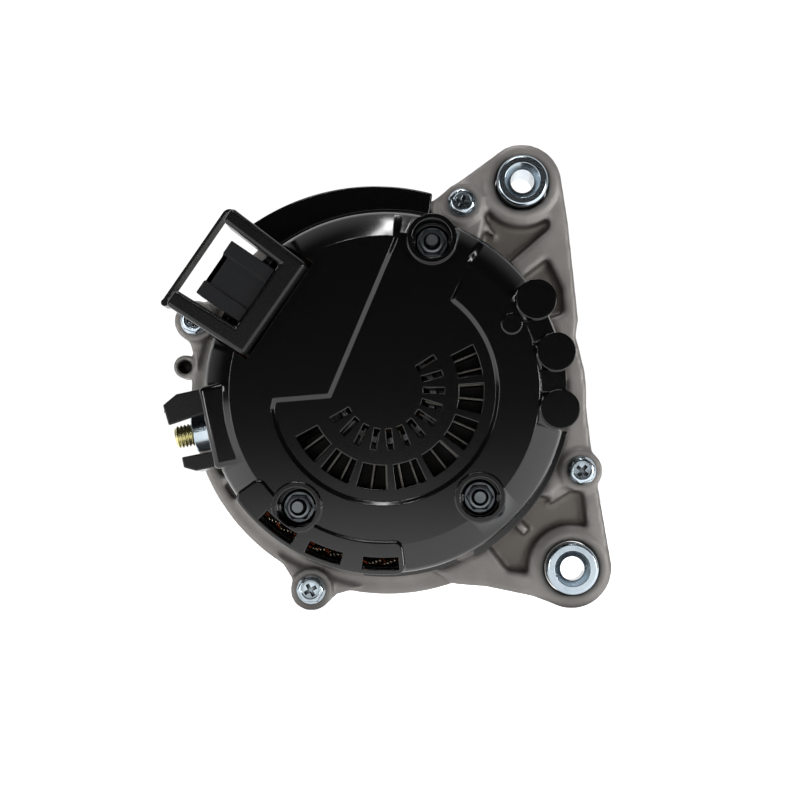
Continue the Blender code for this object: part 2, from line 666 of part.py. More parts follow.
def make_output_terminal(zinc, plastic):
    """Threaded output stud with its nut and washer, inside a two-pronged insulator."""
    place = (OUTPUT_ANGLE, OUTPUT_Y)
    stud = ((0.0, 50.6), (5.6, 50.6), (5.6, 53.0), (STUD_R, 53.0), (STUD_R, 73.8), (3.2, 74.6),
            (0.0, 74.6))
    face_outwards(lathe("output_stud", stud, 20, zinc), *place)
    washer = ((4.3, 60.0), (8.0, 60.0), (8.0, 61.4), (4.3, 61.4))
    face_outwards(lathe("output_washer", washer, 24, zinc), *place)
    nut = prisms("output_nut", [hexagon(13.0)], 61.7, 68.0, zinc)
    cut(nut, prisms("thread", [circle(STUD_R + GAP, 20)], 60.0, 70.0))
    face_outwards(nut, *place)
    body = box("output_insulator", (-8.0, 9.6), (53.4, 59.7), (-13.8, 13.8), plastic)
    fuse(body, box("upper_prong", (-8.0, 9.0), (58.0, 77.0), (-13.8, -9.4)))
    fuse(body, box("lower_prong", (-8.0, 9.0), (58.0, 73.0), (9.4, 13.8)))
    cut(body, prisms("stud_hole", [circle(STUD_R + GAP, 20)], 50.0, 62.0))
    face_outwards(body, *place)


def make_brushes(plastic, carbon, bright):
    """Brush holder over the slip rings, two brushes that slide along Z, and their springs."""
    holder = box("brush_holder", (-7.5, 7.5), (5.2, 24.6), (9.0, 32.5), plastic)
    channels = [(y - 2.8, y + 2.8) for y in RING_PLACES]
    for y0, y1 in channels:
        cut(holder, box("channel", (-3.8, 3.8), (y0, y1), (5.0, 30.5)))
    for name, y in zip(("outer", "inner"), RING_PLACES):
        box(f"brush_{name}", (-3.5, 3.5), (y - 2.5, y + 2.5), (RING_R + 0.3, 19.0), carbon)
        make_spring(f"brush_spring_{name}", y, 19.35, 30.15, bright)


def make_spring(name, y, z0, z1, bright):
    """Coil spring of round wire, along Z."""
    turns, per_turn, sides, coil, wire = 4.5, 8, 4, 1.75, 0.32
    count = int(turns * per_turn)
    vertices, faces = [], []
    for i in range(count + 1):
        turn = 2.0 * math.pi * i / per_turn
        rise = z0 + wire + (z1 - z0 - 2.0 * wire) * i / count
        for k in range(sides):
            a = 2.0 * math.pi * k / sides
            radius = coil + wire * math.cos(a)
            vertices.append((radius * math.cos(turn), y + radius * math.sin(turn),
                             rise + wire * math.sin(a)))
    for i in range(count):
        for k in range(sides):
            n = (k + 1) % sides
            faces.append((i * sides + k, i * sides + n, (i + 1) * sides + n, (i + 1) * sides + k))
    faces += [list(range(sides)), [count * sides + k for k in range(sides)]]
    return solid(name, vertices, faces, bright)


def make_regulator(plastic):
    """Moulded regulator block beside the brush holder."""
    outline = [(-8.2, 12.0), (-8.2, 34.0), (-19.0, 37.0), (-31.5, 27.0), (-38.0, 14.0), (-20.0, 8.0)]
    return prisms("voltage_regulator", [outline], 4.0, 23.0, plastic)


def make_retainer(zinc):
    """Plate that holds the front bearing in its hub."""
    lathe("bearing_retainer", ((17.6, 95.2), (28.0, 95.2), (28.0, 97.2), (17.6, 97.2)), 20, zinc)


def main():
    """Build every piece."""
    clear_scene()
    black = finish("black_moulding", (0.012, 0.012, 0.013), 0.35, 0.0)
    dull = finish("dull_moulding", (0.02, 0.02, 0.022), 0.55, 0.0)
    cast = finish("cast_aluminium", (0.55, 0.53, 0.5), 0.55, 0.9)
    alloy = finish("sheet_aluminium", (0.62, 0.62, 0.61), 0.4, 1.0)
    zinc = finish("zinc_steel", (0.62, 0.65, 0.68), 0.3, 1.0)
    steel = finish("electrical_steel", (0.22, 0.22, 0.23), 0.5, 0.9)
    bright = finish("ground_steel", (0.6, 0.6, 0.6), 0.25, 1.0)
    copper = finish("enamelled_copper", (0.5, 0.2, 0.07), 0.35, 0.8)
    carbon = finish("brush_carbon", (0.05, 0.045, 0.045), 0.7, 0.1)
    brass = finish("cage_brass", (0.6, 0.45, 0.2), 0.4, 1.0)
    make_cover(black)
    make_connector(black, dull, brass)
    make_shield(black)
    make_rear_bracket(cast)
    make_front_bracket(cast)
    make_bolts(zinc)
    make_bushings(zinc)
    make_stator(steel, copper)
    make_rotor(steel, copper, bright, dull, zinc)
    make_bearing("rear_bearing", 7.8, 17.5, REAR_BEARING_Y, 7, bright, brass)
    make_bearing("front_bearing", 8.8, 23.5, FRONT_BEARING_Y, 7, bright, brass)
    make_pulley(steel, zinc)
    make_rectifier(alloy, dull, zinc)
    make_studs(zinc)
    make_output_terminal(zinc, black)
    make_brushes(dull, carbon, bright)
    make_regulator(dull)
    make_retainer(zinc)


main()
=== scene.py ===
import math

import bmesh
import bpy
import numpy as np
from mathutils import Matrix, Vector


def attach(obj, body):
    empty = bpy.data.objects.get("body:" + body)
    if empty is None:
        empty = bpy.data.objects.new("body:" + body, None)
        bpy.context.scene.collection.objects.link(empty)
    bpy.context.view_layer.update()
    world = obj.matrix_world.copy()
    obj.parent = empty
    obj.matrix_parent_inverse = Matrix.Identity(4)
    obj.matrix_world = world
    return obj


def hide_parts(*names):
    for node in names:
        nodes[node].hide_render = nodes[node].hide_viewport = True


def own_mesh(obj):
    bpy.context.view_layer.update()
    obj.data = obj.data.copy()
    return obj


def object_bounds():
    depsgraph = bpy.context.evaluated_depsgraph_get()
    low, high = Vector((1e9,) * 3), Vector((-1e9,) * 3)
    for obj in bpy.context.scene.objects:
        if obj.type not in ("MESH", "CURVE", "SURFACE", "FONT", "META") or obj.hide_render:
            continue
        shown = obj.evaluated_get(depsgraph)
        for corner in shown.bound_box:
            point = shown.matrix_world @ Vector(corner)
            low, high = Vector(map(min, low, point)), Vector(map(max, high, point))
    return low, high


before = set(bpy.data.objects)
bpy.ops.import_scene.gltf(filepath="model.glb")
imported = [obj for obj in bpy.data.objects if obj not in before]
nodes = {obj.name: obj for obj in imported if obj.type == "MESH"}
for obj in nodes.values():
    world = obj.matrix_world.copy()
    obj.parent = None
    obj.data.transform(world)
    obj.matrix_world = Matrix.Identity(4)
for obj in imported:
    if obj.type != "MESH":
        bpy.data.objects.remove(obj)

# Sizes below are in millimetres, in the frame's own axes: the shaft lies along Y and the rear cover
# faces -Y. Every mesh is made in place, so no finished object is moved or turned.
MM = 0.001
cad_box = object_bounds()


# ---------------------------------------------------------------------------------------------------
# Rear bracket. A high-pressure aluminium casting: a bowl with a bearing hub, air windows, bolt lugs and
# the flange with both mounting ears. Its corners are all run out in small fillets, as the die leaves them.
# ---------------------------------------------------------------------------------------------------
BRACKET_R = 70.5
BACK_WALL_Y = 29.6
CORE_R = 66.0
BOLT_R = 73.7
BOLT_ANGLES = (68.7, -21.3, -111.3, 158.7)
LUG_R = 7.4
UPPER_EAR, LOWER_EAR = (48.1, 75.8), (65.0, -61.0)
EAR_R = 14.2
EAR_FACE_Y, EAR_BACK_Y = 31.0, 39.0
BUSHING_R = 9.1
POCKET_EAR_R, POCKET_SKIRT_R, POCKET_DEPTH, POCKET_DRAFT = 15.6, 62.8, 4.0, 1.2
TAPPED_BOSS = (-72.9, 10.7)
CAST_GRAIN = 0.9


def colour(code):
    """Linear colour of an sRGB hex code: c / 12.92 up to 0.04045, else ((c + 0.055) / 1.055) ^ 2.4."""
    parts = np.array([int(code[i:i + 2], 16) for i in (1, 3, 5)]) / 255.0
    linear = np.where(parts <= 0.04045, parts / 12.92, ((parts + 0.055) / 1.055) ** 2.4)
    return (*linear.tolist(), 1.0)


def add(tree, kind, links=None, **settings):
    """Add a node: settings are its properties or its sockets' values, links its inputs' sources."""
    made = tree.nodes.new("ShaderNode" + kind)
    for key, value in settings.items():
        if hasattr(made, key):
            setattr(made, key, value)
        else:
            made.inputs[key.replace("_", " ")].default_value = value
    for socket, source in (links or {}).items():
        tree.links.new(source, made.inputs[socket])
    return made


def surface(name, light, dark, metallic, roughness, spread, grain, relief):
    """Principled surface whose colour runs from dark to light and whose roughness strays by spread.

    Both follow cloudy noise with cells of 12 grains. The bump follows noise with cells of one grain,
    relief deep. Grain and relief are in millimetres.
    """
    made = bpy.data.materials.new(name)
    made.use_nodes = True
    tree = made.node_tree
    tree.nodes.clear()
    place = add(tree, "TexCoord").outputs["Object"]
    cloud = add(tree, "TexNoise", {"Vector": place}, Scale=1.0 / (12.0 * grain * MM), Detail=3.0)
    fine = add(tree, "TexNoise", {"Vector": place}, Scale=1.0 / (grain * MM), Detail=4.0)
    mixed = add(tree, "Mix", {"Factor": cloud.outputs["Fac"]}, data_type="RGBA", A=colour(dark),
                B=colour(light))
    rough = add(tree, "MapRange", {"Value": fine.outputs["Fac"]}, To_Min=roughness - spread,
                To_Max=roughness + spread)
    bump = add(tree, "Bump", {"Height": fine.outputs["Fac"]}, Distance=relief * MM)
    shader = add(tree, "BsdfPrincipled", {"Base Color": mixed.outputs["Result"], "Normal": bump.outputs[0],
                                          "Roughness": rough.outputs[0]}, Metallic=metallic)
    add(tree, "OutputMaterial", {"Surface": shader.outputs[0]})
    return made


def part_of(made, kind):
    """The first node of a kind in a material."""
    return next(n for n in made.node_tree.nodes if n.bl_idname == "ShaderNode" + kind)


def arc(radius, start, end, steps, centre=(0.0, 0.0)):
    """(x, z) = centre + radius (cos a, sin a), with a in even steps from start to end, in degrees."""
    a = np.radians(np.linspace(start, end, steps + 1))
    return np.stack((np.cos(a), np.sin(a)), 1) * radius + np.array(centre)


def circle(radius, steps, centre=(0.0, 0.0)):
    """A full turn of arc(), without its repeated last point."""
    return arc(radius, 0.0, 360.0, steps, centre)[:-1]


def polar(radius, angle):
    """One (x, z) point, at a radius and an angle about the shaft."""
    return arc(radius, angle, angle, 1)[0]


def sector(inner, outer, start, end, steps):
    """A piece of a ring: the outer arc out, the inner arc back."""
    return np.concatenate((arc(outer, start, end, steps), arc(inner, end, start, steps)))


def bar(inner, outer, width, angle):
    """A straight bar along a radius: r in (inner, outer), half a width to each side."""
    out, side = polar(1.0, angle), polar(1.0, angle + 90.0)
    r = np.array((inner, outer, outer, inner))[:, None]
    s = np.array((-0.5, -0.5, 0.5, 0.5))[:, None] * width
    return r * out + s * side


def shape(name, points, faces):
    """Object from points in millimetres, its doubles merged and its faces turned outwards."""
    mesh = bpy.data.meshes.new(name)
    mesh.from_pydata((np.asarray(points, float) * MM).tolist(), [], faces)
    work = bmesh.new()
    work.from_mesh(mesh)
    bmesh.ops.remove_doubles(work, verts=work.verts[:], dist=1e-7)
    bmesh.ops.recalc_face_normals(work, faces=work.faces[:])
    work.to_mesh(mesh)
    work.free()
    item = bpy.data.objects.new(name, mesh)
    bpy.context.scene.collection.objects.link(item)
    return item


def grid_faces(rows, columns, close_rows=True, close_columns=True):
    """Quads (i, j), (i, j+1), (i+1, j+1), (i+1, j) of a grid of points, wrapped where it closes."""
    i = np.arange(rows * columns).reshape(rows, columns)
    down, right = np.roll(i, -1, 0), np.roll(i, -1, 1)
    both = np.roll(down, -1, 1)
    quads = np.stack((i, right, both, down), 2)
    return quads[:rows - (not close_rows), :columns - (not close_columns)].reshape(-1, 4).tolist()


def turned(name, profile, steps, centre=(0.0, 0.0)):
    """Closed profile of (r, y) turned about Y: P(i, a) = (cx + r_i cos a, y_i, cz + r_i sin a)."""
    profile = np.array(profile, float)
    a = np.radians(np.arange(steps) * 360.0 / steps)
    r, y = profile[:, :1], profile[:, 1:]
    points = np.stack((centre[0] + r * np.cos(a), y + 0.0 * a, centre[1] + r * np.sin(a)), 2)
    return shape(name, points.reshape(-1, 3), grid_faces(len(profile), steps))


def extruded(name, outlines, y0, y1, grow=0.0):
    """Outlines of (x, z) carried from y0 to y1: P(i, y) = (x_i, y, z_i), the y0 end grown outwards.

    Growing moves each point along the mean of its two edges' normals, and gives a drafted wall.
    """
    points, faces, first = [], [], 0
    for outline in outlines:
        outline = np.asarray(outline, float)
        edge = np.roll(outline, -1, 0) - outline
        normal = np.stack((edge[:, 1], -edge[:, 0]), 1) / np.linalg.norm(edge, axis=1)[:, None]
        normal = normal + np.roll(normal, 1, 0)
        area = np.sum(outline[:, 0] * np.roll(outline[:, 1], -1) - outline[:, 1] * np.roll(outline[:, 0], -1))
        share = 2.0 * np.sign(area) / np.maximum(np.sum(normal ** 2, 1), 0.5)
        wide = outline + normal * grow * share[:, None]
        n = len(outline)
        for ring, y in ((wide, y0), (outline, y1)):
            points.append(np.stack((ring[:, 0], np.full(n, y), ring[:, 1]), 1))
        k = np.arange(n)
        after = np.roll(k, -1)
        faces += (np.stack((k, after, after + n, k + n), 1) + first).tolist()
        faces += [(k + first).tolist(), (k + n + first).tolist()]
        first += 2 * n
    return shape(name, np.concatenate(points), faces)


def block(name, x, y, z):
    """Box between two ends on each axis."""
    corners = [(x[0], z[0]), (x[1], z[0]), (x[1], z[1]), (x[0], z[1])]
    return extruded(name, [corners], *y)


def apply(item):
    """Make what an object's modifiers show its own mesh."""
    seen = item.evaluated_get(bpy.context.evaluated_depsgraph_get())
    result = bpy.data.meshes.new_from_object(seen)
    item.modifiers.clear()
    item.data = result
    return item


def combine(item, operation, *others):
    """Join other solids to item, cut them out of it, or keep only what they share."""
    for other in others:
        step = item.modifiers.new(operation, "BOOLEAN")
        step.operation = operation
        step.solver = "EXACT"
        step.object = other
        apply(item)
        bpy.data.objects.remove(other, do_unlink=True)
    return item


def cast_skin(item, cell):
    """Run every corner of a casting out in a fillet about as wide as a cell, in millimetres."""
    skin = item.modifiers.new("skin", "REMESH")
    skin.mode = "VOXEL"
    skin.voxel_size = cell * MM
    skin.use_smooth_shade = True
    ease = item.modifiers.new("fillets", "SMOOTH")
    ease.factor = 0.5
    ease.iterations = 3
    apply(item)
    return item


def wear(item, finish):
    """Give an object one material."""
    item.data.materials.clear()
    item.data.materials.append(finish)
    return item


# Shot-blasted cast aluminium: a warm grey, matt and speckled. On the ears' side the colour is darker behind
# the ear
# face, in the pockets: partly their darker as-cast skin, partly painted shade. The corners and hollows get
# painted shade from ambient occlusion. The speckle is drawn at 0.9 mm, coarser than the real marks.
cast_aluminium = surface("shot_blasted_cast_aluminium", "#868380", "#686562", 0.5, 0.5, 0.08,
                         CAST_GRAIN, 0.09)
tree = cast_aluminium.node_tree
clean = part_of(cast_aluminium, "Mix").outputs["Result"]
place = add(tree, "SeparateXYZ", {"Vector": part_of(cast_aluminium, "TexCoord").outputs["Object"]})
# Partly painted shade, partly as-cast skin: from 0.8 to 3.2 mm behind the ear face, and ramping in from 15 to
# 30 mm along X, the colour goes towards #5a5550.
deep = add(tree, "MapRange", {"Value": place.outputs["Y"]}, From_Min=(EAR_FACE_Y + 0.8) * MM,
           From_Max=(EAR_FACE_Y + 3.2) * MM)
near_ears = add(tree, "MapRange", {"Value": place.outputs["X"]}, From_Min=15.0 * MM, From_Max=30.0 * MM)
pocket_skin_and_shade = add(tree, "Math", {0: deep.outputs[0], 1: near_ears.outputs[0]}, operation="MULTIPLY")
skin = add(tree, "Mix", {"Factor": pocket_skin_and_shade.outputs[0], "A": clean}, data_type="RGBA", B=colour("#5a5550"))
# Painted shade: ambient occlusion within 6 mm darkens the corners and hollows towards #34302d.
shade = add(tree, "AmbientOcclusion", samples=6, Distance=6.0 * MM)
corner_painted_shade = add(tree, "MapRange", {"Value": shade.outputs["AO"]}, From_Min=0.2, From_Max=0.85)
with_corner_painted_shade = add(tree, "Mix", {"Factor": corner_painted_shade.outputs[0], "B": skin.outputs["Result"]}, data_type="RGBA",
            A=colour("#34302d"))
tree.links.new(with_corner_painted_shade.outputs["Result"], part_of(cast_aluminium, "BsdfPrincipled").inputs["Base Color"])


def add_lugs(bracket, y0, y1, bore_end):
    """Four bolt lugs, each on a web that widens to the skirt, drilled through."""
    for angle in BOLT_ANGLES:
        centre, side = polar(BOLT_R, angle), polar(LUG_R - 0.5, angle + 90.0)
        web = np.concatenate((arc(BRACKET_R - 1.6, angle + 13.0, angle - 13.0, 2),
                              [centre - side, centre + side]))
        combine(bracket, "UNION", extruded("web", [web], y0 + 2.5, y1 - 0.5))
        combine(bracket, "UNION", extruded("lug", [circle(LUG_R, 40, centre)], y0, y1))
    bores = [circle(2.8, 20, polar(BOLT_R, a)) for a in BOLT_ANGLES]
    return combine(bracket, "DIFFERENCE", extruded("bores", bores, y0 - 2.0, bore_end))


def skirt_windows(y0, y1):
    """Cutter for the air windows round a skirt, kept clear of the bolt lugs."""
    angles = [45.0 * k + 1.2 for k in range(8)]
    clear = [a for a in angles if all(abs((a - b + 180.0) % 360.0 - 180.0) > 16.0 for b in BOLT_ANGLES)]
    return extruded("skirt_windows", [bar(60.0, 72.0, 22.0, a) for a in clear], y0, y1)


rear_bracket = turned("rear_bracket_casting", (
    (17.8, 28.0), (20.5, 28.0), (22.0, BACK_WALL_Y), (61.5, BACK_WALL_Y), (65.0, 34.0), (BRACKET_R, 34.0),
    (BRACKET_R, 57.0), (CORE_R + 0.3, 57.0), (CORE_R + 0.3, 52.3), (63.6, 52.3), (63.6, 37.0),
    (60.0, 33.6), (24.0, 33.6), (21.4, 40.6), (17.8, 40.6)), 144)
flange = np.concatenate((
    [(16.5, 70.0)], arc(EAR_R, 116.0, 8.0, 24, UPPER_EAR), [(64.5, 62.0), (68.0, 27.0), (67.0, 21.0)],
    arc(BRACKET_R + 0.2, 7.0, -3.0, 6), [(72.5, -20.0)], arc(EAR_R, 12.0, -118.0, 28, LOWER_EAR),
    [(51.5, -71.0), (35.0, -67.6), (24.0, -66.8)], arc(64.6, -75.0, 76.0, 48)))
pockets = [
    np.concatenate((arc(POCKET_EAR_R, -142.0, -52.0, 18, UPPER_EAR), [(57.5, 60.0)],
                    arc(POCKET_SKIRT_R, 48.0, 58.0, 6))),
    np.concatenate(([(57.0, 48.5), (62.0, 38.0), (62.5, 29.5)], arc(POCKET_SKIRT_R, 26.0, 41.0, 6))),
    np.concatenate((arc(POCKET_EAR_R, 70.0, 186.0, 24, LOWER_EAR), [(42.5, -61.5)],
                    arc(POCKET_SKIRT_R, -56.0, -34.0, 10), [(58.5, -37.0), (61.5, -33.0), (69.0, -34.5)]))]
combine(rear_bracket, "UNION", extruded("flange", [flange], EAR_FACE_Y, EAR_BACK_Y),
        extruded("upper_boss", [circle(12.8, 48, UPPER_EAR)], EAR_FACE_Y - 0.8, 45.6),
        extruded("lower_boss", [circle(12.8, 48, LOWER_EAR)], EAR_FACE_Y - 0.8, 41.0))
combine(rear_bracket, "DIFFERENCE",
        extruded("pockets", pockets, EAR_FACE_Y - 4.0, EAR_FACE_Y + POCKET_DEPTH, POCKET_DRAFT))
combine(rear_bracket, "UNION", extruded("tab", [bar(64.0, 69.2, 2.6, -44.5)], EAR_FACE_Y, EAR_BACK_Y))
holes = [circle(BUSHING_R + 0.3, 48, c) for c in (UPPER_EAR, LOWER_EAR)]
combine(rear_bracket, "DIFFERENCE", extruded("bushing_holes", holes, 20.0, 60.0))
add_lugs(rear_bracket, 30.0, 57.0, 59.0)
combine(rear_bracket, "UNION", extruded("tapped_boss", [circle(4.2, 40, TAPPED_BOSS)], 34.5, 48.0),
        extruded("boss_foot", [bar(66.0, 71.0, 7.0, 171.6)], 36.0, 47.0))
combine(rear_bracket, "DIFFERENCE", extruded("tapped_hole", [circle(2.5, 30, TAPPED_BOSS)], 30.0, 45.0))
gaps = [sector(26.5, 57.0, 30.0 * k + 3.4, 30.0 * k + 26.6, 10) for k in range(12) if k not in (2, 7, 10)]
shoulder_holes = [sector(61.8, 66.0, 201.0, 206.0, 4), sector(62.4, 66.2, 208.6, 214.0, 4)]
combine(rear_bracket, "DIFFERENCE", extruded("back_windows", gaps + shoulder_holes, 26.0, 36.0),
        skirt_windows(41.5, 50.5))
cast_skin(rear_bracket, 0.86)
wear(rear_bracket, cast_aluminium)
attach(rear_bracket, "housing")
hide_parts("rear_bracket")


# ---------------------------------------------------------------------------------------------------
# Front bracket. The same casting alloy, closed over the stator from the pulley end: a bowl with the
# front bearing hub, eight air windows and the tapped lugs that the through bolts screw into.
# ---------------------------------------------------------------------------------------------------
FRONT_SKIRT_Y, FRONT_WALL_Y = 77.0, 103.0
front_bracket = turned("front_bracket_casting", (
    (CORE_R + 0.3, FRONT_SKIRT_Y), (BRACKET_R, FRONT_SKIRT_Y), (BRACKET_R, 97.0),
    (62.0, FRONT_WALL_Y + 1.0), (30.0, FRONT_WALL_Y + 4.0), (28.0, 114.0), (20.0, 114.0), (23.8, 112.3),
    (23.8, 97.6), (29.0, 97.6), (32.0, FRONT_WALL_Y - 1.0), (58.0, FRONT_WALL_Y - 3.0), (63.6, 95.0),
    (63.6, 81.7), (CORE_R + 0.3, 81.7)), 144)
add_lugs(front_bracket, FRONT_SKIRT_Y, 96.0, 94.0)
gaps = [sector(35.0, 55.0, 45.0 * k + 5.0, 45.0 * k + 40.0, 14) for k in range(8)]
combine(front_bracket, "DIFFERENCE", extruded("front_windows", gaps, 90.0, 112.0), skirt_windows(84.0, 93.0))
cast_skin(front_bracket, 0.85)
wear(front_bracket, cast_aluminium)
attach(front_bracket, "housing")
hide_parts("front_bracket")


# ---------------------------------------------------------------------------------------------------
# Ear bushings. Turned steel sleeves, zinc plated, pressed into both ears: a chamfered flat face with a
# wide countersink that leads the engine bolt in.
# ---------------------------------------------------------------------------------------------------
BUSHING_FACE_Y = 24.5


def soften(item, width, segments=3, angle=35.0):
    """Round the edges sharper than an angle, with a bevel of a width in millimetres, shaded smooth."""
    item.data.shade_smooth()
    edge = item.modifiers.new("rounded_edges", "BEVEL")
    edge.width = width * MM
    edge.segments = segments
    edge.limit_method = "ANGLE"
    edge.angle_limit = math.radians(angle)
    edge.use_clamp_overlap = False
    edge.harden_normals = True
    return item


# Bright zinc plate with a blue passivate: a cool mirror-like metal with fine turning marks, drawn at
# 0.35 mm where the real feed is about 0.1 mm, so that they show.
zinc_plate = surface("blue_passivated_zinc_plate", "#c3cdd4", "#98a6b0", 1.0, 0.2, 0.05, 0.5, 0.002)
tree = zinc_plate.node_tree
# Painted shade: ambient occlusion within 1.6 mm darkens the colour towards #15181a in crevices, such as the
# bolt heads' cross recess.
shade = add(tree, "AmbientOcclusion", {"Color": part_of(zinc_plate, "Mix").outputs["Result"]}, samples=6,
            Distance=1.6 * MM)
crevice_painted_shade = add(tree, "Math", {0: shade.outputs["AO"]}, operation="POWER")
crevice_painted_shade.inputs[1].default_value = 1.6
with_crevice_painted_shade = add(tree, "Mix", {"Factor": crevice_painted_shade.outputs[0], "B": shade.outputs["Color"]}, data_type="RGBA",
               A=colour("#15181a"))
tree.links.new(with_crevice_painted_shade.outputs["Result"], part_of(zinc_plate, "BsdfPrincipled").inputs["Base Color"])

face = BUSHING_FACE_Y
for name, centre, end in (("upper_ear_bushing", UPPER_EAR, 46.0), ("lower_ear_bushing", LOWER_EAR, 38.0)):
    bushing = turned(f"{name}_sleeve", (
        (4.2, face + 2.3), (4.5, face + 1.9), (6.0, face + 0.35), (6.3, face), (8.2, face),
        (8.5, face + 0.15), (9.0, face + 0.75), (BUSHING_R, face + 1.1), (BUSHING_R, end - 0.5),
        (BUSHING_R - 0.5, end), (4.7, end), (4.2, end - 0.5)), 128, centre)
    wear(soften(bushing, 0.12, 2, 15.0), zinc_plate)
    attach(bushing, "housing")
    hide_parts(name)


# ---------------------------------------------------------------------------------------------------
# Through bolts. Four zinc-plated hex-flange bolts with a cross recess, which clamp both brackets on the
# stator. The head is cold-forged, so its top is dished and its corners are rounded.
# ---------------------------------------------------------------------------------------------------
def hexagon(across_flats, centre=(0.0, 0.0)):
    """Outline of a hexagon: six points at across_flats / sqrt(3)."""
    return circle(across_flats / math.sqrt(3.0), 6, centre)


def nut_blank(name, across_flats, y0, y1, chamfer, centre=(0.0, 0.0)):
    """Hexagon whose corners are cut by a cone at both ends, as a turned blank leaves them."""
    corner = across_flats / math.sqrt(3.0)
    cone = ((0.0, y0), (corner - chamfer, y0), (corner + 0.1, y0 + chamfer * 0.7),
            (corner + 0.1, y1 - chamfer * 0.7), (corner - chamfer, y1), (0.0, y1))
    blank = extruded(name, [hexagon(across_flats, centre)], y0, y1)
    return combine(blank, "INTERSECT", turned("cone", cone, 48, centre))


for n, angle in enumerate(BOLT_ANGLES, 1):
    centre = polar(BOLT_R, angle)
    turn = Matrix.Rotation(math.radians(20.0 * n), 4, "Y")
    bolt = turned(f"through_bolt_{n}_forged", (
        (0.0, 27.6), (4.3, 27.6), (5.1, 28.7), (5.2, 29.0), (5.2, 29.6), (5.0, 29.7), (2.5, 29.7),
        (2.5, 91.8), (2.0, 92.5), (0.0, 92.5)), 64)
    combine(bolt, "UNION", nut_blank("head", 8.0, 26.0, 28.6, 0.9))
    dish = turned("dish", ((0.0, 25.0), (3.4, 25.0), (3.1, 26.35), (0.0, 26.45)), 48)
    combine(bolt, "DIFFERENCE", dish)
    for a in (0.0, 90.0):
        combine(bolt, "DIFFERENCE", extruded("wing", [bar(-2.3, 2.3, 1.15, a)], 25.2, 28.4))
    soften(bolt, 0.14, 2)
    bolt.data.transform(Matrix.Translation((centre[0] * MM, 0.0, centre[1] * MM)) @ turn)
    wear(bolt, zinc_plate)
    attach(bolt, "housing")
    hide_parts(f"through_bolt_{n}")


# ---------------------------------------------------------------------------------------------------
# Stator core. A stack of punched electrical-steel rings, welded across the back and varnished. Its edge
# shows between the brackets as fine lines, drawn every 0.9 mm where the sheets are 0.5 mm.
# ---------------------------------------------------------------------------------------------------
CORE_Y0, CORE_Y1 = 52.6, 81.4
STATOR_BORE_R = 50.3
SHEETS = 32
SLOTS = 36
WELDS = 6
pitch = (CORE_Y1 - CORE_Y0) / SHEETS
edges = CORE_Y0 + pitch * np.repeat(np.arange(SHEETS), 4) + np.tile((0.0, 0.12, 0.88, 1.0), SHEETS) * pitch
radii = np.tile((CORE_R - 0.18, CORE_R, CORE_R, CORE_R - 0.18), SHEETS)
stack = np.concatenate(([(STATOR_BORE_R, CORE_Y0)], np.stack((radii, edges), 1), [(STATOR_BORE_R, CORE_Y1)]))
stator_core = turned("stator_sheet_stack", stack, 180)
slots = [bar(48.0, 61.0, 3.4, 360.0 * k / SLOTS) for k in range(SLOTS)]
combine(stator_core, "DIFFERENCE", extruded("slots", slots, CORE_Y0 - 3.0, CORE_Y1 + 3.0))
welds = [bar(64.8, CORE_R + 0.05, 2.2, 360.0 * k / WELDS + 20.0) for k in range(WELDS)]
combine(stator_core, "UNION", extruded("welds", welds, CORE_Y0 + 0.1, CORE_Y1 - 0.1))

# Varnished electrical steel: dark grey-brown, with the varnish's soft gloss.
sheet_steel = surface("varnished_electrical_steel", "#4b4744", "#2f2c2a", 0.75, 0.42, 0.1, 1.2, 0.02)
wear(stator_core, sheet_steel)
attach(stator_core, "housing")
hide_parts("stator_core")


# ---------------------------------------------------------------------------------------------------
# Stator winding. Enamelled copper wire: straight legs in the slots, and at both ends a crown of loops
# that arch from slot to slot in five layers. Dipped in amber varnish.
# ---------------------------------------------------------------------------------------------------
WIRE_R = 0.72
LAYERS = (53.3, 55.0, 56.7, 58.4, 60.1)
LOOP_SPAN = 30.0
LOOP_STEPS, WIRE_SIDES = 22, 8


def tubes(name, paths, radius, sides):
    """Round tubes along paths of shape (count, steps, 3), with capped ends.

    P(t, b) = C(t) + radius (N cos b + B sin b), with N and B square to the path's tangent.
    """
    tangent = np.gradient(paths, axis=1)
    tangent /= np.linalg.norm(tangent, axis=2, keepdims=True)
    guide = paths * (1.0, 0.0, 1.0)
    normal = guide - np.sum(guide * tangent, 2, keepdims=True) * tangent
    normal /= np.linalg.norm(normal, axis=2, keepdims=True)
    other = np.cross(tangent, normal)
    b = np.linspace(0.0, 2.0 * np.pi, sides, endpoint=False)[:, None]
    rings = paths[:, :, None] + radius * (normal[:, :, None] * np.cos(b) + other[:, :, None] * np.sin(b))
    count, steps = paths.shape[:2]
    quads = np.array(grid_faces(steps, sides, close_rows=False))
    faces = (quads + (np.arange(count) * steps * sides)[:, None, None]).reshape(-1, 4).tolist()
    ends = np.arange(sides)
    for first in np.arange(count) * steps * sides:
        faces += [(first + ends).tolist(), (first + (steps - 1) * sides + ends).tolist()]
    return shape(name, rings.reshape(-1, 3), faces)


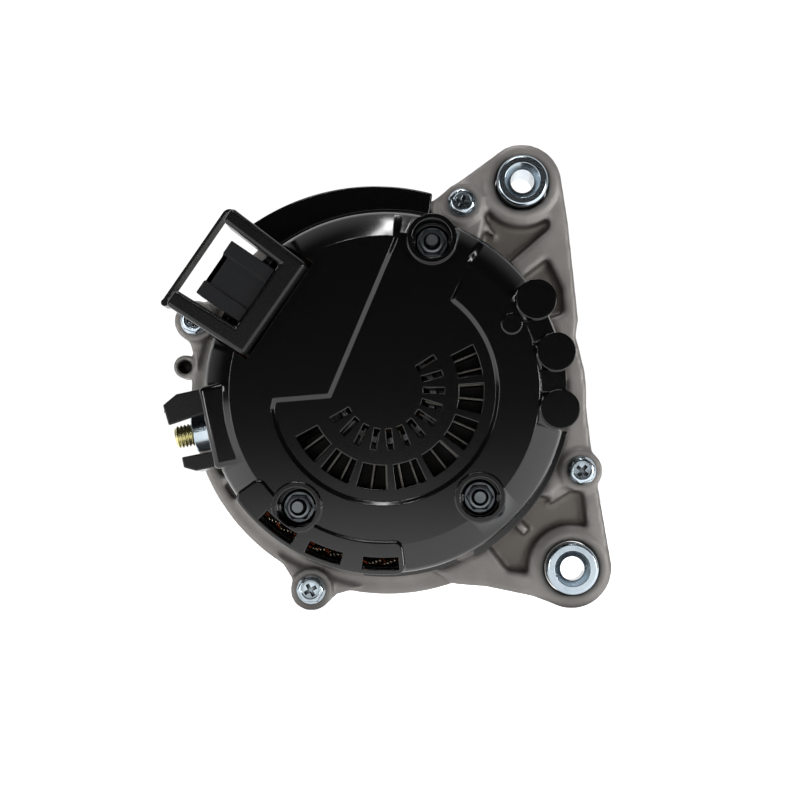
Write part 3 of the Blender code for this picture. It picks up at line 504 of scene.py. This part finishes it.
t = np.linspace(0.0, 1.0, LOOP_STEPS)
start = np.radians(360.0 * np.arange(SLOTS) / SLOTS)
loops = []
for layer, radius in enumerate(LAYERS):
    a = start[:, None] + math.radians(LOOP_SPAN) * (t - 0.5) + 0.03 * layer
    r = radius + 0.35 * np.sin(2.0 * np.pi * t) + 0.0 * a
    arch = np.sin(np.pi * t) ** 0.75
    wobble = 0.4 * np.sin(7.0 * start + layer)[:, None]
    height = arch * (8.2 - 0.7 * layer + wobble)
    for y in (CORE_Y0 + 1.5 - height * 1.25, CORE_Y1 - 1.5 + height * 1.2):
        loops.append(np.stack((r * np.cos(a), y, r * np.sin(a)), 2))
winding = tubes("stator_wire_crowns", np.concatenate(loops), WIRE_R, WIRE_SIDES)
winding.data.shade_smooth()
legs = extruded("stator_wire_legs", [bar(52.4, 60.4, 2.6, 360.0 * k / SLOTS) for k in range(SLOTS)],
                CORE_Y0 - 1.8, CORE_Y1 + 1.8)

# Enamelled copper under amber varnish: a reddish metal seen through a clear glossy coat.
copper = surface("varnished_enamelled_copper", "#b4621f", "#6b2f0e", 0.85, 0.32, 0.08, 0.8, 0.01)
part_of(copper, "BsdfPrincipled").inputs["Coat Weight"].default_value = 0.6
for piece in (winding, legs):
    wear(piece, copper)
    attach(piece, "housing")
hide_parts("stator_winding")


# ---------------------------------------------------------------------------------------------------
# Winding leads. The phase ends come up behind the cover's windows, stripped, tinned and twisted together
# at the rectifier's terminals, beside loops that keep their amber enamel.
# ---------------------------------------------------------------------------------------------------
LEAD_ANGLES = (-131.0, -125.5, -112.5, -107.0, -93.5, -88.0)
LEAD_Y, LEAD_R = 11.4, 58.2


def curled_leads(name, turns, reach, lift, wire):
    """Two wires at each lead angle, each a helix of a few turns along the rim.

    P(t) = (r cos a, y, r sin a) with r = LEAD_R + 0.8 cos(turns t) and y = LEAD_Y + 0.8 sin(turns t) - lift.
    """
    paths = []
    for k, angle in enumerate(LEAD_ANGLES):
        for side in (0.0, np.pi):
            turn = turns * np.pi * t + side + k
            a = math.radians(angle) + (t - 0.5) * reach
            r = LEAD_R + 0.8 * np.cos(turn)
            y = LEAD_Y + 0.8 * np.sin(turn) - lift * np.sin(np.pi * t)
            paths.append(np.stack((r * np.cos(a), y, r * np.sin(a)), 1))
    made = tubes(name, np.array(paths), wire, 8)
    made.data.shade_smooth()
    return made


winding_leads = curled_leads("winding_leads_tinned", 3.4, 0.085, 2.2, 0.42)
enamelled_leads = curled_leads("winding_leads_enamelled", 2.2, 0.15, 0.0, 0.5)

# Tin solder on copper wire: bright, slightly yellow and uneven.
tinned = surface("tinned_wire", "#d9d3c4", "#a08f6b", 1.0, 0.22, 0.08, 0.6, 0.02)
# Amber polyurethane enamel over copper: an orange-red gloss.
amber = surface("amber_enamelled_wire", "#d8672a", "#9a3a12", 0.3, 0.28, 0.06, 0.8, 0.01)
for piece, finish, slot in ((winding_leads, tinned, "zinc_steel"),
                            (enamelled_leads, amber, "enamelled_copper")):
    wear(piece, finish)
    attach(piece, "housing")


# ---------------------------------------------------------------------------------------------------
# Rotor. Forged claw poles on a ground shaft, a wound field coil between them, pressed steel fans, and
# copper slip rings on a moulded sleeve. The solids' own shapes are right, so they only get finishes.
# ---------------------------------------------------------------------------------------------------
# Forged low-carbon steel, dipped in dark varnish.
forged = surface("varnished_forged_steel", "#3a3836", "#211f1e", 0.8, 0.48, 0.1, 1.0, 0.03)
# Ground bearing and shaft steel: a plain bright grey.
ground = surface("ground_bearing_steel", "#b9bbbd", "#9b9da0", 1.0, 0.2, 0.05, 0.5, 0.003)
# Pressed brass, browned by grease on the ball cages; on the contact pins the dark brown is painted shade, as
# they sit in the block's holes.
brass = surface("browned_pressed_brass", "#3f321c", "#281f10", 1.0, 0.4, 0.06, 0.6, 0.004)
# Glass-filled nylon with a matt mould face.
matt_nylon = surface("matt_glass_filled_nylon", "#0a0b0e", "#07080a", 0.0, 0.45, 0.07, 0.35, 0.006)
part_of(matt_nylon, "BsdfPrincipled").inputs["Specular IOR Level"].default_value = 0.25
# Pressed electrographite of the brushes.
carbon = surface("pressed_electrographite", "#2b2827", "#1b1918", 0.2, 0.6, 0.08, 0.5, 0.02)
finishes = {
    forged: ("rotor_pole_rear", "rotor_pole_front", "rear_fan", "front_fan"),
    ground: ("rotor_shaft", "slip_ring_outer", "slip_ring_inner", "rear_bearing_inner_race",
             "rear_bearing_outer_race", "front_bearing_inner_race", "front_bearing_outer_race"),
    brass: ("rear_bearing_ball_cage", "front_bearing_ball_cage"),
    copper: ("field_coil",),
    matt_nylon: ("slip_ring_sleeve", "brush_holder", "voltage_regulator", "rectifier_moulding"),
    carbon: ("brush_outer", "brush_inner"),
    zinc_plate: ("bearing_retainer", "pulley_spacer", "positive_diode_1", "positive_diode_2",
                 "positive_diode_3", "negative_diode_1", "negative_diode_2", "negative_diode_3"),
}
for finish, names in finishes.items():
    for name in names:
        wear(nodes[name], finish)


# ---------------------------------------------------------------------------------------------------
# Brush springs. Coils of round spring-steel wire in the holder, which press the brushes on the slip
# rings. A spring shortens towards the holder's closed end as its brush slides up.
# ---------------------------------------------------------------------------------------------------
SPRING_FOOT, SPRING_TOP = 19.35, 30.15
SPRING_R, SPRING_WIRE_R, SPRING_TURNS = 1.75, 0.32, 4.5
coil = np.linspace(0.0, 1.0, 110)
turn = 2.0 * np.pi * SPRING_TURNS * coil
rise = SPRING_FOOT + SPRING_WIRE_R + (SPRING_TOP - SPRING_FOOT - 2.0 * SPRING_WIRE_R) * coil
for name, y in (("outer", 10.5), ("inner", 19.0)):
    path = np.stack((SPRING_R * np.cos(turn), y + SPRING_R * np.sin(turn), rise), 1)
    spring = tubes(f"brush_spring_{name}_coil", path[None], SPRING_WIRE_R, 10)
    spring.data.shade_smooth()
    wear(spring, ground)
    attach(spring, "housing")
    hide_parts(f"brush_spring_{name}")
    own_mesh(spring)


# ---------------------------------------------------------------------------------------------------
# Pulley. Turned steel with a dark coat and six V ribs of 3.56 mm pitch, held by a hexagon nut on the
# threaded end of the shaft.
# ---------------------------------------------------------------------------------------------------
PULLEY_Y0, PULLEY_Y1 = 119.0, 143.0
PULLEY_R = 27.5
RIB_PITCH, RIBS = 3.56, 6
profile = [(8.8, PULLEY_Y0 - 6.6), (12.6, PULLEY_Y0 - 6.6), (13.0, PULLEY_Y0 - 6.2), (13.0, PULLEY_Y0),
           (PULLEY_R - 0.5, PULLEY_Y0), (PULLEY_R, PULLEY_Y0 + 0.5), (PULLEY_R, PULLEY_Y0 + 1.0)]
for k in range(RIBS):
    root = PULLEY_Y0 + 1.3 + (k + 0.5) * RIB_PITCH
    profile += [(PULLEY_R - 0.3, root - 1.45), (PULLEY_R - 2.9, root - 0.3), (PULLEY_R - 3.0, root),
                (PULLEY_R - 2.9, root + 0.3), (PULLEY_R - 0.3, root + 1.45), (PULLEY_R, root + 1.75)]
profile += [(PULLEY_R, PULLEY_Y1 - 0.5), (PULLEY_R - 0.5, PULLEY_Y1), (PULLEY_R - 2.6, PULLEY_Y1),
            (PULLEY_R - 5.4, PULLEY_Y1 - 9.0), (14.0, PULLEY_Y1 - 9.0), (14.0, PULLEY_Y1 - 6.0),
            (8.8, PULLEY_Y1 - 6.0)]
pulley = turned("pulley_turned", profile, 160)
pulley.data.shade_smooth()
pulley.data.set_sharp_from_angle(angle=math.radians(24.0))
# Black oxide over turned steel: dark, with a dull metal shine.
black_oxide = surface("black_oxide_steel", "#2c2d30", "#1c1d1f", 0.9, 0.34, 0.06, 0.6, 0.01)
wear(pulley, black_oxide)
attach(pulley, "rotor")
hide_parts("pulley")

pulley_nut = nut_blank("pulley_nut_forged", 22.0, PULLEY_Y1 - 5.7, PULLEY_Y1 + 4.3, 2.0)
combine(pulley_nut, "DIFFERENCE", extruded("thread", [circle(8.2, 64)], 130.0, 150.0))
wear(soften(pulley_nut, 0.3), zinc_plate)
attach(pulley_nut, "rotor")
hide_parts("pulley_nut")


# ---------------------------------------------------------------------------------------------------
# Heat sinks. The positive plate is a dusty aluminium pressing whose radial fins stand up behind the
# cover's grille, where they show through its slots. The negative one lies flat on the bracket.
# ---------------------------------------------------------------------------------------------------
NUT_PLACES = ((16.2, 51.1), (-29.2, -39.4), (32.3, -36.1))
SINK_START, SINK_END = -149.0, 46.0
FINS = 21
plate = sector(24.0, 56.0, SINK_START, SINK_END, 60)
positive_sink = extruded("positive_heat_sink_plate", [plate], 14.0, 16.2)
step = (SINK_END - SINK_START - 10.0) / (FINS - 1)
fins = [bar(14.2, 34.0, 0.8, SINK_START + 5.0 + step * k) for k in range(FINS)]
combine(positive_sink, "UNION", extruded("fins", fins, 5.0, 15.0))
holes = [circle(3.2, 32, place) for place in NUT_PLACES[1:]]
rooms = [circle(9.2, 32, place) for place in NUT_PLACES[1:]]
combine(positive_sink, "DIFFERENCE", extruded("stud_holes", holes, 10.0, 20.0),
        extruded("well_room", rooms, 2.0, 12.6))
soften(positive_sink, 0.2, 2)
# Rolled aluminium sheet, bare but dull with dust: a soft shine on the fins' edges. Behind the edges, from 5.2
# to
# 6.4 mm along Y, the colour goes to near-black #0f0e0d: painted shade down in the cover's slots.
sheet_aluminium = surface("rolled_aluminium_sheet", "#6f6c67", "#353330", 0.9, 0.34, 0.08, 0.5, 0.01)
tree = sheet_aluminium.node_tree
place = add(tree, "SeparateXYZ", {"Vector": part_of(sheet_aluminium, "TexCoord").outputs["Object"]})
sunk = add(tree, "MapRange", {"Value": place.outputs["Y"]}, From_Min=5.2 * MM, From_Max=6.4 * MM)
dulled = add(tree, "Mix", {"Factor": sunk.outputs[0], "A": part_of(sheet_aluminium, "Mix").outputs["Result"]},
             data_type="RGBA", B=colour("#0f0e0d"))
tree.links.new(dulled.outputs["Result"], part_of(sheet_aluminium, "BsdfPrincipled").inputs["Base Color"])
wear(positive_sink, sheet_aluminium)
wear(nodes["negative_heat_sink"], sheet_aluminium)
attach(positive_sink, "housing")
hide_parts("positive_heat_sink")


# ---------------------------------------------------------------------------------------------------
# Heat shield. A thin black moulded crescent behind the cover's upper left edge, with a rolled rim that
# catches the light.
# ---------------------------------------------------------------------------------------------------
SHIELD_CENTRE, SHIELD_R, SHIELD_INNER_R = (-4.6, -2.2), 77.6, 66.2
crescent = np.concatenate((arc(SHIELD_R, 74.5, 126.0, 70, SHIELD_CENTRE),
                           arc(SHIELD_INNER_R, 128.5, 76.8, 70)))
heat_shield = extruded("heat_shield_moulded", [crescent], 31.9, 33.6)
room = extruded("lug_room", [circle(LUG_R + 0.6, 48, polar(BOLT_R, BOLT_ANGLES[0]))], 20.0, 60.0)
combine(heat_shield, "DIFFERENCE", room)
soften(heat_shield, 0.7, 4)

# Glass-filled nylon from a polished mould: deep black with a clear gloss and faint flow ripples.
gloss_nylon = surface("polished_mould_black_nylon", "#060606", "#040404", 0.0, 0.14, 0.03, 0.4, 0.001)
# The moulding's edges are rounded by 0.45 mm in its shading alone, as its many joined steps are sharp.
tree = gloss_nylon.node_tree
rounding = add(tree, "Bevel", samples=8, Radius=0.45 * MM)
tree.links.new(rounding.outputs[0], part_of(gloss_nylon, "Bump").inputs["Normal"])
wear(heat_shield, gloss_nylon)
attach(heat_shield, "housing")
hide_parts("heat_shield")


# ---------------------------------------------------------------------------------------------------
# Rear cover. A deep black moulded cup over the rectifier: a plateau with a sunken grille, three nut
# wells, edge bosses on the right, and a raised tray with three windows over the winding's ends.
# ---------------------------------------------------------------------------------------------------
COVER_RIM_R, COVER_TOP_R, COVER_TOP_Y = 62.0, 52.3, -1.2
COVER_END_Y = 29.3
GRILLE_R = 37.6
INNER_SLOTS, OUTER_SLOTS = 12, 8
COLLAR_R, COLLAR_FLOOR_Y = 8.4, 12.0
EDGE_BOSSES = ((51.3, 30.4, 6.8), (57.9, 12.7, 6.5), (59.1, -6.6, 6.6))
PLUG_ANGLE, OUTPUT_ANGLE, OUTPUT_Y = 145.8, 192.0, 18.0
STEP_WIDTH = 1.3


def outwards(item, angle, y):
    """Turn a mesh made about Y so that its axis points out from the shaft at an angle."""
    turn = Matrix.Rotation(math.radians(-angle), 4, "Y") @ Matrix.Rotation(math.radians(-90.0), 4, "Z")
    item.data.transform(Matrix.Translation((0.0, y * MM, 0.0)) @ turn)
    return item


def towards_plug(item):
    """Turn a mesh made along +X so that it lies along the plug's radius."""
    item.data.transform(Matrix.Rotation(math.radians(-PLUG_ANGLE), 4, "Y"))
    return item


def pad(inner, outer, start, end, corner):
    """Ring piece with round corners: a rounded rectangle of (arc length s, r), bent about the shaft.

    P = (r cos a, r sin a) with a = s / middle radius, sampled every half millimetre.
    """
    middle, reach = (inner + outer) / 2.0, (outer - inner) / 2.0 - corner
    half = math.radians(end - start) / 2.0 * middle - corner
    corners = ((0.0, half, reach), (90.0, -half, reach), (180.0, -half, -reach), (270.0, half, -reach))
    loop = np.concatenate([arc(corner, q, q + 90.0, 8, (x, z)) for q, x, z in corners])
    loop = np.concatenate((loop, loop[:1]))
    run = np.concatenate(([0.0], np.cumsum(np.linalg.norm(np.diff(loop, axis=0), axis=1))))
    even = np.arange(0.0, run[-1], 0.5)
    a = math.radians(start + end) / 2.0 + np.interp(even, run, loop[:, 0]) / middle
    r = middle + np.interp(even, run, loop[:, 1])
    return np.stack((r * np.cos(a), r * np.sin(a)), 1)


cover = turned("rear_cover_moulded", (
    (0.0, COVER_TOP_Y), (COVER_TOP_R, COVER_TOP_Y), (60.4, 5.0), (61.5, 6.6), (COVER_RIM_R, 9.5),
    (COVER_RIM_R, COVER_END_Y), (60.0, COVER_END_Y), (60.0, 10.2), (58.6, 7.0), (51.4, 2.2), (0.0, 2.2)), 240)
tray = soften(extruded("tray", [pad(50.8, 61.9, -145.0, -83.0, 3.0)], -2.4, 6.0), 0.7, 4)
feet = [sector(60.6, 64.4, -61.0, -12.0, 40), sector(60.6, 63.6, -97.0, -67.0, 24)]
combine(cover, "UNION", apply(tray), extruded("feet", feet, 20.0, COVER_END_Y - 0.1))
for x, z, radius in EDGE_BOSSES:
    combine(cover, "UNION", extruded("boss", [circle(radius, 64, (x, z))], -2.6, 12.0))
combine(cover, "UNION", extruded("small_boss", [circle(3.5, 40, (43.0, 22.3))], -2.0, 1.0))
links = [bar(52.7, 60.4, 7.4, 21.4), bar(52.9, 61.2, 7.4, 3.0)]
combine(cover, "UNION", extruded("boss_links", links, -1.0, 11.0))
hood = soften(extruded("terminal_hood", [bar(51.8, 61.6, 28.4, OUTPUT_ANGLE)], 0.6, 8.6), 1.8, 5)
combine(cover, "UNION", apply(hood))
recess = np.concatenate(([(-36.5, -4.0), (-18.0, -2.5), (4.5, 51.0), (6.0, 56.0), (29.5, 47.5), (27.5, 41.0),
                          (22.5, 30.5)], arc(GRILLE_R, 52.0, -170.0, 110)))
combine(cover, "DIFFERENCE", extruded("recess", [recess], COVER_TOP_Y - 0.1, 0.0, STEP_WIDTH))
slots = [bar(13.2, 20.4, 2.0, -150.0 + 16.6 * k) for k in range(INNER_SLOTS)]
combine(cover, "DIFFERENCE", extruded("inner_slots", slots, -6.0, 5.0))
slots = [sector(25.4, 33.6, a, a + 18.0, 8) for a in (-152.0 + 23.0 * k for k in range(OUTER_SLOTS))]
combine(cover, "DIFFERENCE", extruded("outer_slots", slots, -6.0, 5.0))
for centre in NUT_PLACES:
    floor = COLLAR_FLOOR_Y
    combine(cover, "DIFFERENCE", extruded("well_hole", [circle(7.7, 64, centre)], -6.0, floor - 1.0))
    collar = turned("collar", ((6.7, -3.0), (COLLAR_R, -3.0), (COLLAR_R, floor), (3.3, floor),
                               (3.3, floor - 2.0), (6.7, floor - 2.0)), 64, centre)
    combine(cover, "UNION", collar)
    for side in (-1.0, 1.0):
        x = sorted((centre[0] + side * 5.6, centre[0] + side * 7.2))
        combine(cover, "UNION", block("key", x, (-0.4, floor - 1.0), (centre[1] - 1.2, centre[1] + 1.2)))
windows = [sector(56.2, 60.3, a, a + w, 8) for a, w in ((-134.0, 13.0), (-116.0, 12.0), (-97.0, 12.0))]
combine(cover, "DIFFERENCE", extruded("windows", windows, -4.0, 9.5))
combine(cover, "DIFFERENCE", towards_plug(block("plug_opening", (44.2, 66.0), (-6.0, 8.4), (-22.0, 17.6))),
        extruded("output_opening", [bar(48.0, 66.0, 29.0, OUTPUT_ANGLE)], 7.0, 32.0))
cover.data.shade_smooth()
cover.data.set_sharp_from_angle(angle=math.radians(28.0))
for face in cover.data.polygons:
    face.use_smooth = abs(face.normal.y) < 0.99
wear(cover, gloss_nylon)
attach(cover, "housing")
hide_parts("rear_cover")


# ---------------------------------------------------------------------------------------------------
# Cover studs and nuts. Zinc-plated studs stand on the bracket, and a flanged hexagon nut at the foot of
# each well holds the cover down.
# ---------------------------------------------------------------------------------------------------
THREAD_PITCH = 0.8


def threaded(name, radius, depth, pitch, y0, y1, nose, steps=48):
    """Screw thread: r(a, y) = radius - depth (1 - |2 frac(y / pitch - a / 2 pi) - 1|), capped flat.

    Near both ends the radius eases down by nose, as a turned point does.
    """
    a = np.radians(np.arange(steps) * 360.0 / steps)
    y = np.linspace(y0, y1, int((y1 - y0) / pitch * 10) + 1)[:, None]
    wave = np.abs(2.0 * np.mod(y / pitch - a / (2.0 * np.pi), 1.0) - 1.0)
    end = np.clip(1.0 - np.minimum(y - y0, y1 - y) / max(nose, 0.01), 0.0, 1.0)
    r = np.minimum(radius - depth * (1.0 - wave), radius - nose * end)
    points = np.stack((r * np.cos(a), y + 0.0 * a, r * np.sin(a)), 2)
    rows = len(y)
    faces = grid_faces(rows, steps, close_rows=False)
    faces += [list(range(steps)), list(range((rows - 1) * steps, rows * steps))]
    return shape(name, points.reshape(-1, 3), faces)


# Zinc plate for the studs and nuts down in the wells: a duller gloss, and a darker colour that is painted
# shade.
dull_and_shaded_zinc = surface("dull_and_shaded_zinc_plate", "#7e8487", "#565b5e", 1.0, 0.3, 0.06, 0.5, 0.004)
seat = COLLAR_FLOOR_Y - 2.3
for n, centre in enumerate(NUT_PLACES, 1):
    stud = threaded(f"cover_stud_{n}_rolled", 2.5, 0.4, THREAD_PITCH, 1.2, 29.2, 0.6)
    stud.data.transform(Matrix.Translation((centre[0] * MM, 0.0, centre[1] * MM)))
    stud.data.shade_smooth()
    stud.data.set_sharp_from_angle(angle=math.radians(40.0))
    nut = turned(f"cover_nut_{n}_forged", ((0.0, seat), (6.2, seat), (6.2, seat - 0.4), (5.2, seat - 1.5),
                                           (0.0, seat - 1.5)), 64, centre)
    combine(nut, "UNION", nut_blank("hex", 8.0, 4.6, seat - 1.0, 0.8, centre))
    combine(nut, "DIFFERENCE", extruded("bore", [circle(2.8, 40, centre)], 2.0, 12.0))
    soften(nut, 0.16, 2)
    for piece, node in ((stud, f"cover_stud_{n}"), (nut, f"cover_nut_{n}")):
        wear(piece, dull_and_shaded_zinc)
        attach(piece, "housing")
        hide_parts(node)


# ---------------------------------------------------------------------------------------------------
# Plug socket. A satin black moulding on the cover: two thick rounded arms on a back wall, tied at the
# open end by a thin strap, round the block that holds the two contacts.
# ---------------------------------------------------------------------------------------------------
PLUG_TOP_Y, PLUG_END_Y = -8.0, 8.0
ARM_END, STRAP_END = 76.4, 79.2
arms = [(44.6, -20.2), (ARM_END, -22.0), (ARM_END, -16.4), (52.4, -15.0), (52.4, 10.4), (ARM_END, 11.4),
        (ARM_END, 17.6), (45.0, 17.0)]
socket = soften(extruded("plug_socket_moulded", [arms], PLUG_TOP_Y, PLUG_END_Y), 1.5, 5)
apply(socket)
socket.data.shade_smooth()
outer = np.concatenate((arc(2.8, -90.0, 0.0, 12, (STRAP_END - 2.8, -19.2)),
                        arc(1.2, -30.0, 150.0, 14, (STRAP_END - 0.9, 17.2)), [(ARM_END - 1.0, 16.8)]))
inner = np.concatenate(([(ARM_END - 1.0, 15.6)], arc(0.4, 90.0, 0.0, 6, (STRAP_END - 1.35, 15.2)),
                        arc(1.85, 0.0, -90.0, 12, (STRAP_END - 2.8, -19.2))))
strap = soften(extruded("plug_strap_moulded", [np.concatenate((outer, inner))], -1.0, PLUG_END_Y), 0.15, 2)

# Glass-filled nylon from a finely eroded mould: black, with a soft satin face.
satin_nylon = surface("satin_mould_black_nylon", "#080809", "#050506", 0.0, 0.28, 0.05, 0.4, 0.004)
part_of(satin_nylon, "BsdfPrincipled").inputs["Specular IOR Level"].default_value = 0.35
for piece in (socket, strap):
    towards_plug(piece)
    wear(piece, satin_nylon)
    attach(piece, "housing")
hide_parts("connector_housing")

contact_block = block("contact_block_moulded", (52.8, 70.6), (-5.0, PLUG_END_Y), (-12.8, 8.4))
combine(contact_block, "DIFFERENCE", block("keyway", (68.9, 72.0), (-6.0, 9.0), (-7.0, 3.2)),
        block("step", (52.0, 72.0), (-6.0, -3.9), (-7.6, 3.4)))
PIN_PLACES, PIN_WIDTH, PIN_GAP = (-7.5, 0.9), 1.6, 0.3
for n, low in enumerate(PIN_PLACES, 1):
    high = low + PIN_WIDTH
    combine(contact_block, "DIFFERENCE",
            block("pin_hole", (60.0, 72.0), (2.6, 4.2), (low - PIN_GAP, high + PIN_GAP)))
    contact = block(f"contact_pin_{n}", (66.4, 70.2), (3.0, 3.8), (low, high))
    wear(towards_plug(soften(contact, 0.2, 2)), brass)
    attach(contact, "housing")
    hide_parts(f"connector_pin_{n}")
wear(towards_plug(soften(contact_block, 0.3)), matt_nylon)
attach(contact_block, "housing")
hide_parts("connector_block")


# ---------------------------------------------------------------------------------------------------
# Output terminal. A rolled M8 stud through a black insulator with two guarding prongs, and a bright
# hexagon nut on a plain washer that clamps the battery cable.
# ---------------------------------------------------------------------------------------------------
STUD_R, STUD_PITCH = 4.0, 1.25
output_stud = threaded("output_stud_rolled", STUD_R, 0.75, STUD_PITCH, 50.6, 74.6, 0.9, 72)
output_stud.data.shade_smooth()
# Yellow passivated zinc on the rolled thread.
yellow_zinc = surface("yellow_passivated_zinc", "#d8d2a4", "#a6a072", 1.0, 0.26, 0.06, 0.6, 0.006)
output_nut = nut_blank("output_nut_forged", 13.0, 61.7, 68.0, 1.3)
combine(output_nut, "DIFFERENCE", extruded("bore", [circle(4.3, 48)], 60.0, 70.0))
soften(output_nut, 0.25)
output_washer = soften(turned("output_washer_pressed", ((4.3, 60.0), (8.0, 60.0), (8.0, 61.4), (4.3, 61.4)),
                              96), 0.2)
for piece, node, finish in ((output_stud, "output_stud", yellow_zinc), (output_nut, "output_nut", zinc_plate),
                            (output_washer, "output_washer", zinc_plate)):
    outwards(piece, OUTPUT_ANGLE, OUTPUT_Y)
    wear(piece, finish)
    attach(piece, "housing")
    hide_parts(node)

insulator = block("output_insulator_moulded", (-8.0, 9.6), (53.4, 59.7), (-13.8, 13.8))
upper_prong = [(58.0, -14.2), (70.3, -14.2), (75.6, -11.4), (75.4, -9.4), (58.0, -9.0)]
lower_prong = [(58.0, 7.6), (72.9, 7.4), (72.9, 11.0), (69.0, 13.0), (58.0, 13.2)]
flap = [(58.0, -14.2), (70.3, -14.2), (75.6, -11.4), (75.0, -4.2), (63.0, -5.6), (58.0, -5.6)]
for prong, y0, y1 in ((upper_prong, -9.0, 8.0), (lower_prong, -9.0, 8.0), (flap, -9.6, -7.8)):
    side = extruded("prong", [prong], y0, y1)
    side.data.transform(Matrix.Rotation(math.radians(90.0), 4, "Z"))
    combine(insulator, "UNION", side)
combine(insulator, "DIFFERENCE", extruded("stud_hole", [circle(4.3, 48)], 50.0, 62.0))
wear(outwards(soften(insulator, 0.5), OUTPUT_ANGLE, OUTPUT_Y), satin_nylon)
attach(insulator, "housing")
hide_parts("output_insulator")


# ---------------------------------------------------------------------------------------------------
# Studio. A glowing white floor, an open white side behind the alternator and a dark room behind the
# camera, with two narrow strip lamps overhead and two low ones that edge the black moulding.
# ---------------------------------------------------------------------------------------------------
FLOOR_Z = cad_box[0][2]
FLOOR_HALF = 6.0
floor_corners = [(x * FLOOR_HALF, y * FLOOR_HALF, FLOOR_Z) for x, y in ((-1, -1), (1, -1), (1, 1), (-1, 1))]
floor_mesh = bpy.data.meshes.new("studio_floor")
floor_mesh.from_pydata(floor_corners, [], [(0, 1, 2, 3)])
studio_floor = bpy.data.objects.new("studio_floor", floor_mesh)
bpy.context.scene.collection.objects.link(studio_floor)
# Matt white paper, lifted a little so that it stays white out to the horizon.
paper = bpy.data.materials.new("white_paper")
paper.use_nodes = True
sheet = paper.node_tree.nodes["Principled BSDF"]
sheet.inputs["Base Color"].default_value = colour("#f4f4f4")
sheet.inputs["Roughness"].default_value = 0.9
sheet.inputs["Emission Color"].default_value = colour("#ffffff")
sheet.inputs["Emission Strength"].default_value = 1.0
wear(studio_floor, paper)

world = bpy.data.worlds.new("studio_room")
bpy.context.scene.world = world
world.use_nodes = True
room = world.node_tree
room.nodes.clear()
direction = add(room, "TexCoord").outputs["Generated"]
along = add(room, "SeparateXYZ", {"Vector": direction}).outputs["Y"]
open_side = add(room, "MapRange", {"Value": along}, From_Min=0.0, From_Max=0.4, To_Min=0.012, To_Max=1.05)
sky = add(room, "Background", {"Strength": open_side.outputs[0]}, Color=colour("#ffffff"))
add(room, "OutputWorld", {"Surface": sky.outputs[0]})


def soft_box(name, place, aim, width, height, power):
    """Rectangular lamp at a place in metres, turned to a point."""
    lamp = bpy.data.lights.new(name, "AREA")
    lamp.shape = "RECTANGLE"
    lamp.size, lamp.size_y, lamp.energy = width, height, power
    item = bpy.data.objects.new(name, lamp)
    item.location = place
    item.rotation_euler = (Vector(aim) - Vector(place)).to_track_quat("-Z", "Y").to_euler()
    bpy.context.scene.collection.objects.link(item)


middle = (0.0, 0.04, 0.0)
soft_box("overhead_left", (-0.12, -0.2, 0.75), middle, 0.05, 0.7, 2.0)
soft_box("overhead_right", (0.05, -0.2, 0.75), middle, 0.05, 0.7, 1.2)
soft_box("low_right", (0.55, -0.5, 0.0), (0.05, 0.03, -0.05), 0.12, 0.25, 3.0)
soft_box("low_left", (-0.5, -0.5, 0.05), (-0.05, 0.03, 0.0), 0.12, 0.3, 1.2)

camera = bpy.data.cameras.new("camera")
camera.lens, camera.sensor_width = 74.78, 36.0
camera.clip_start = 0.01
eye = bpy.data.objects.new("camera", camera)
eye.location = (0.0205, -0.5586, -0.0343)
eye.rotation_euler = Vector((-0.0270, 0.9981, 0.0553)).to_track_quat("-Z", "Y").to_euler()
bpy.context.scene.collection.objects.link(eye)
bpy.context.scene.camera = eye
bpy.context.scene.view_settings.view_transform = "Standard"
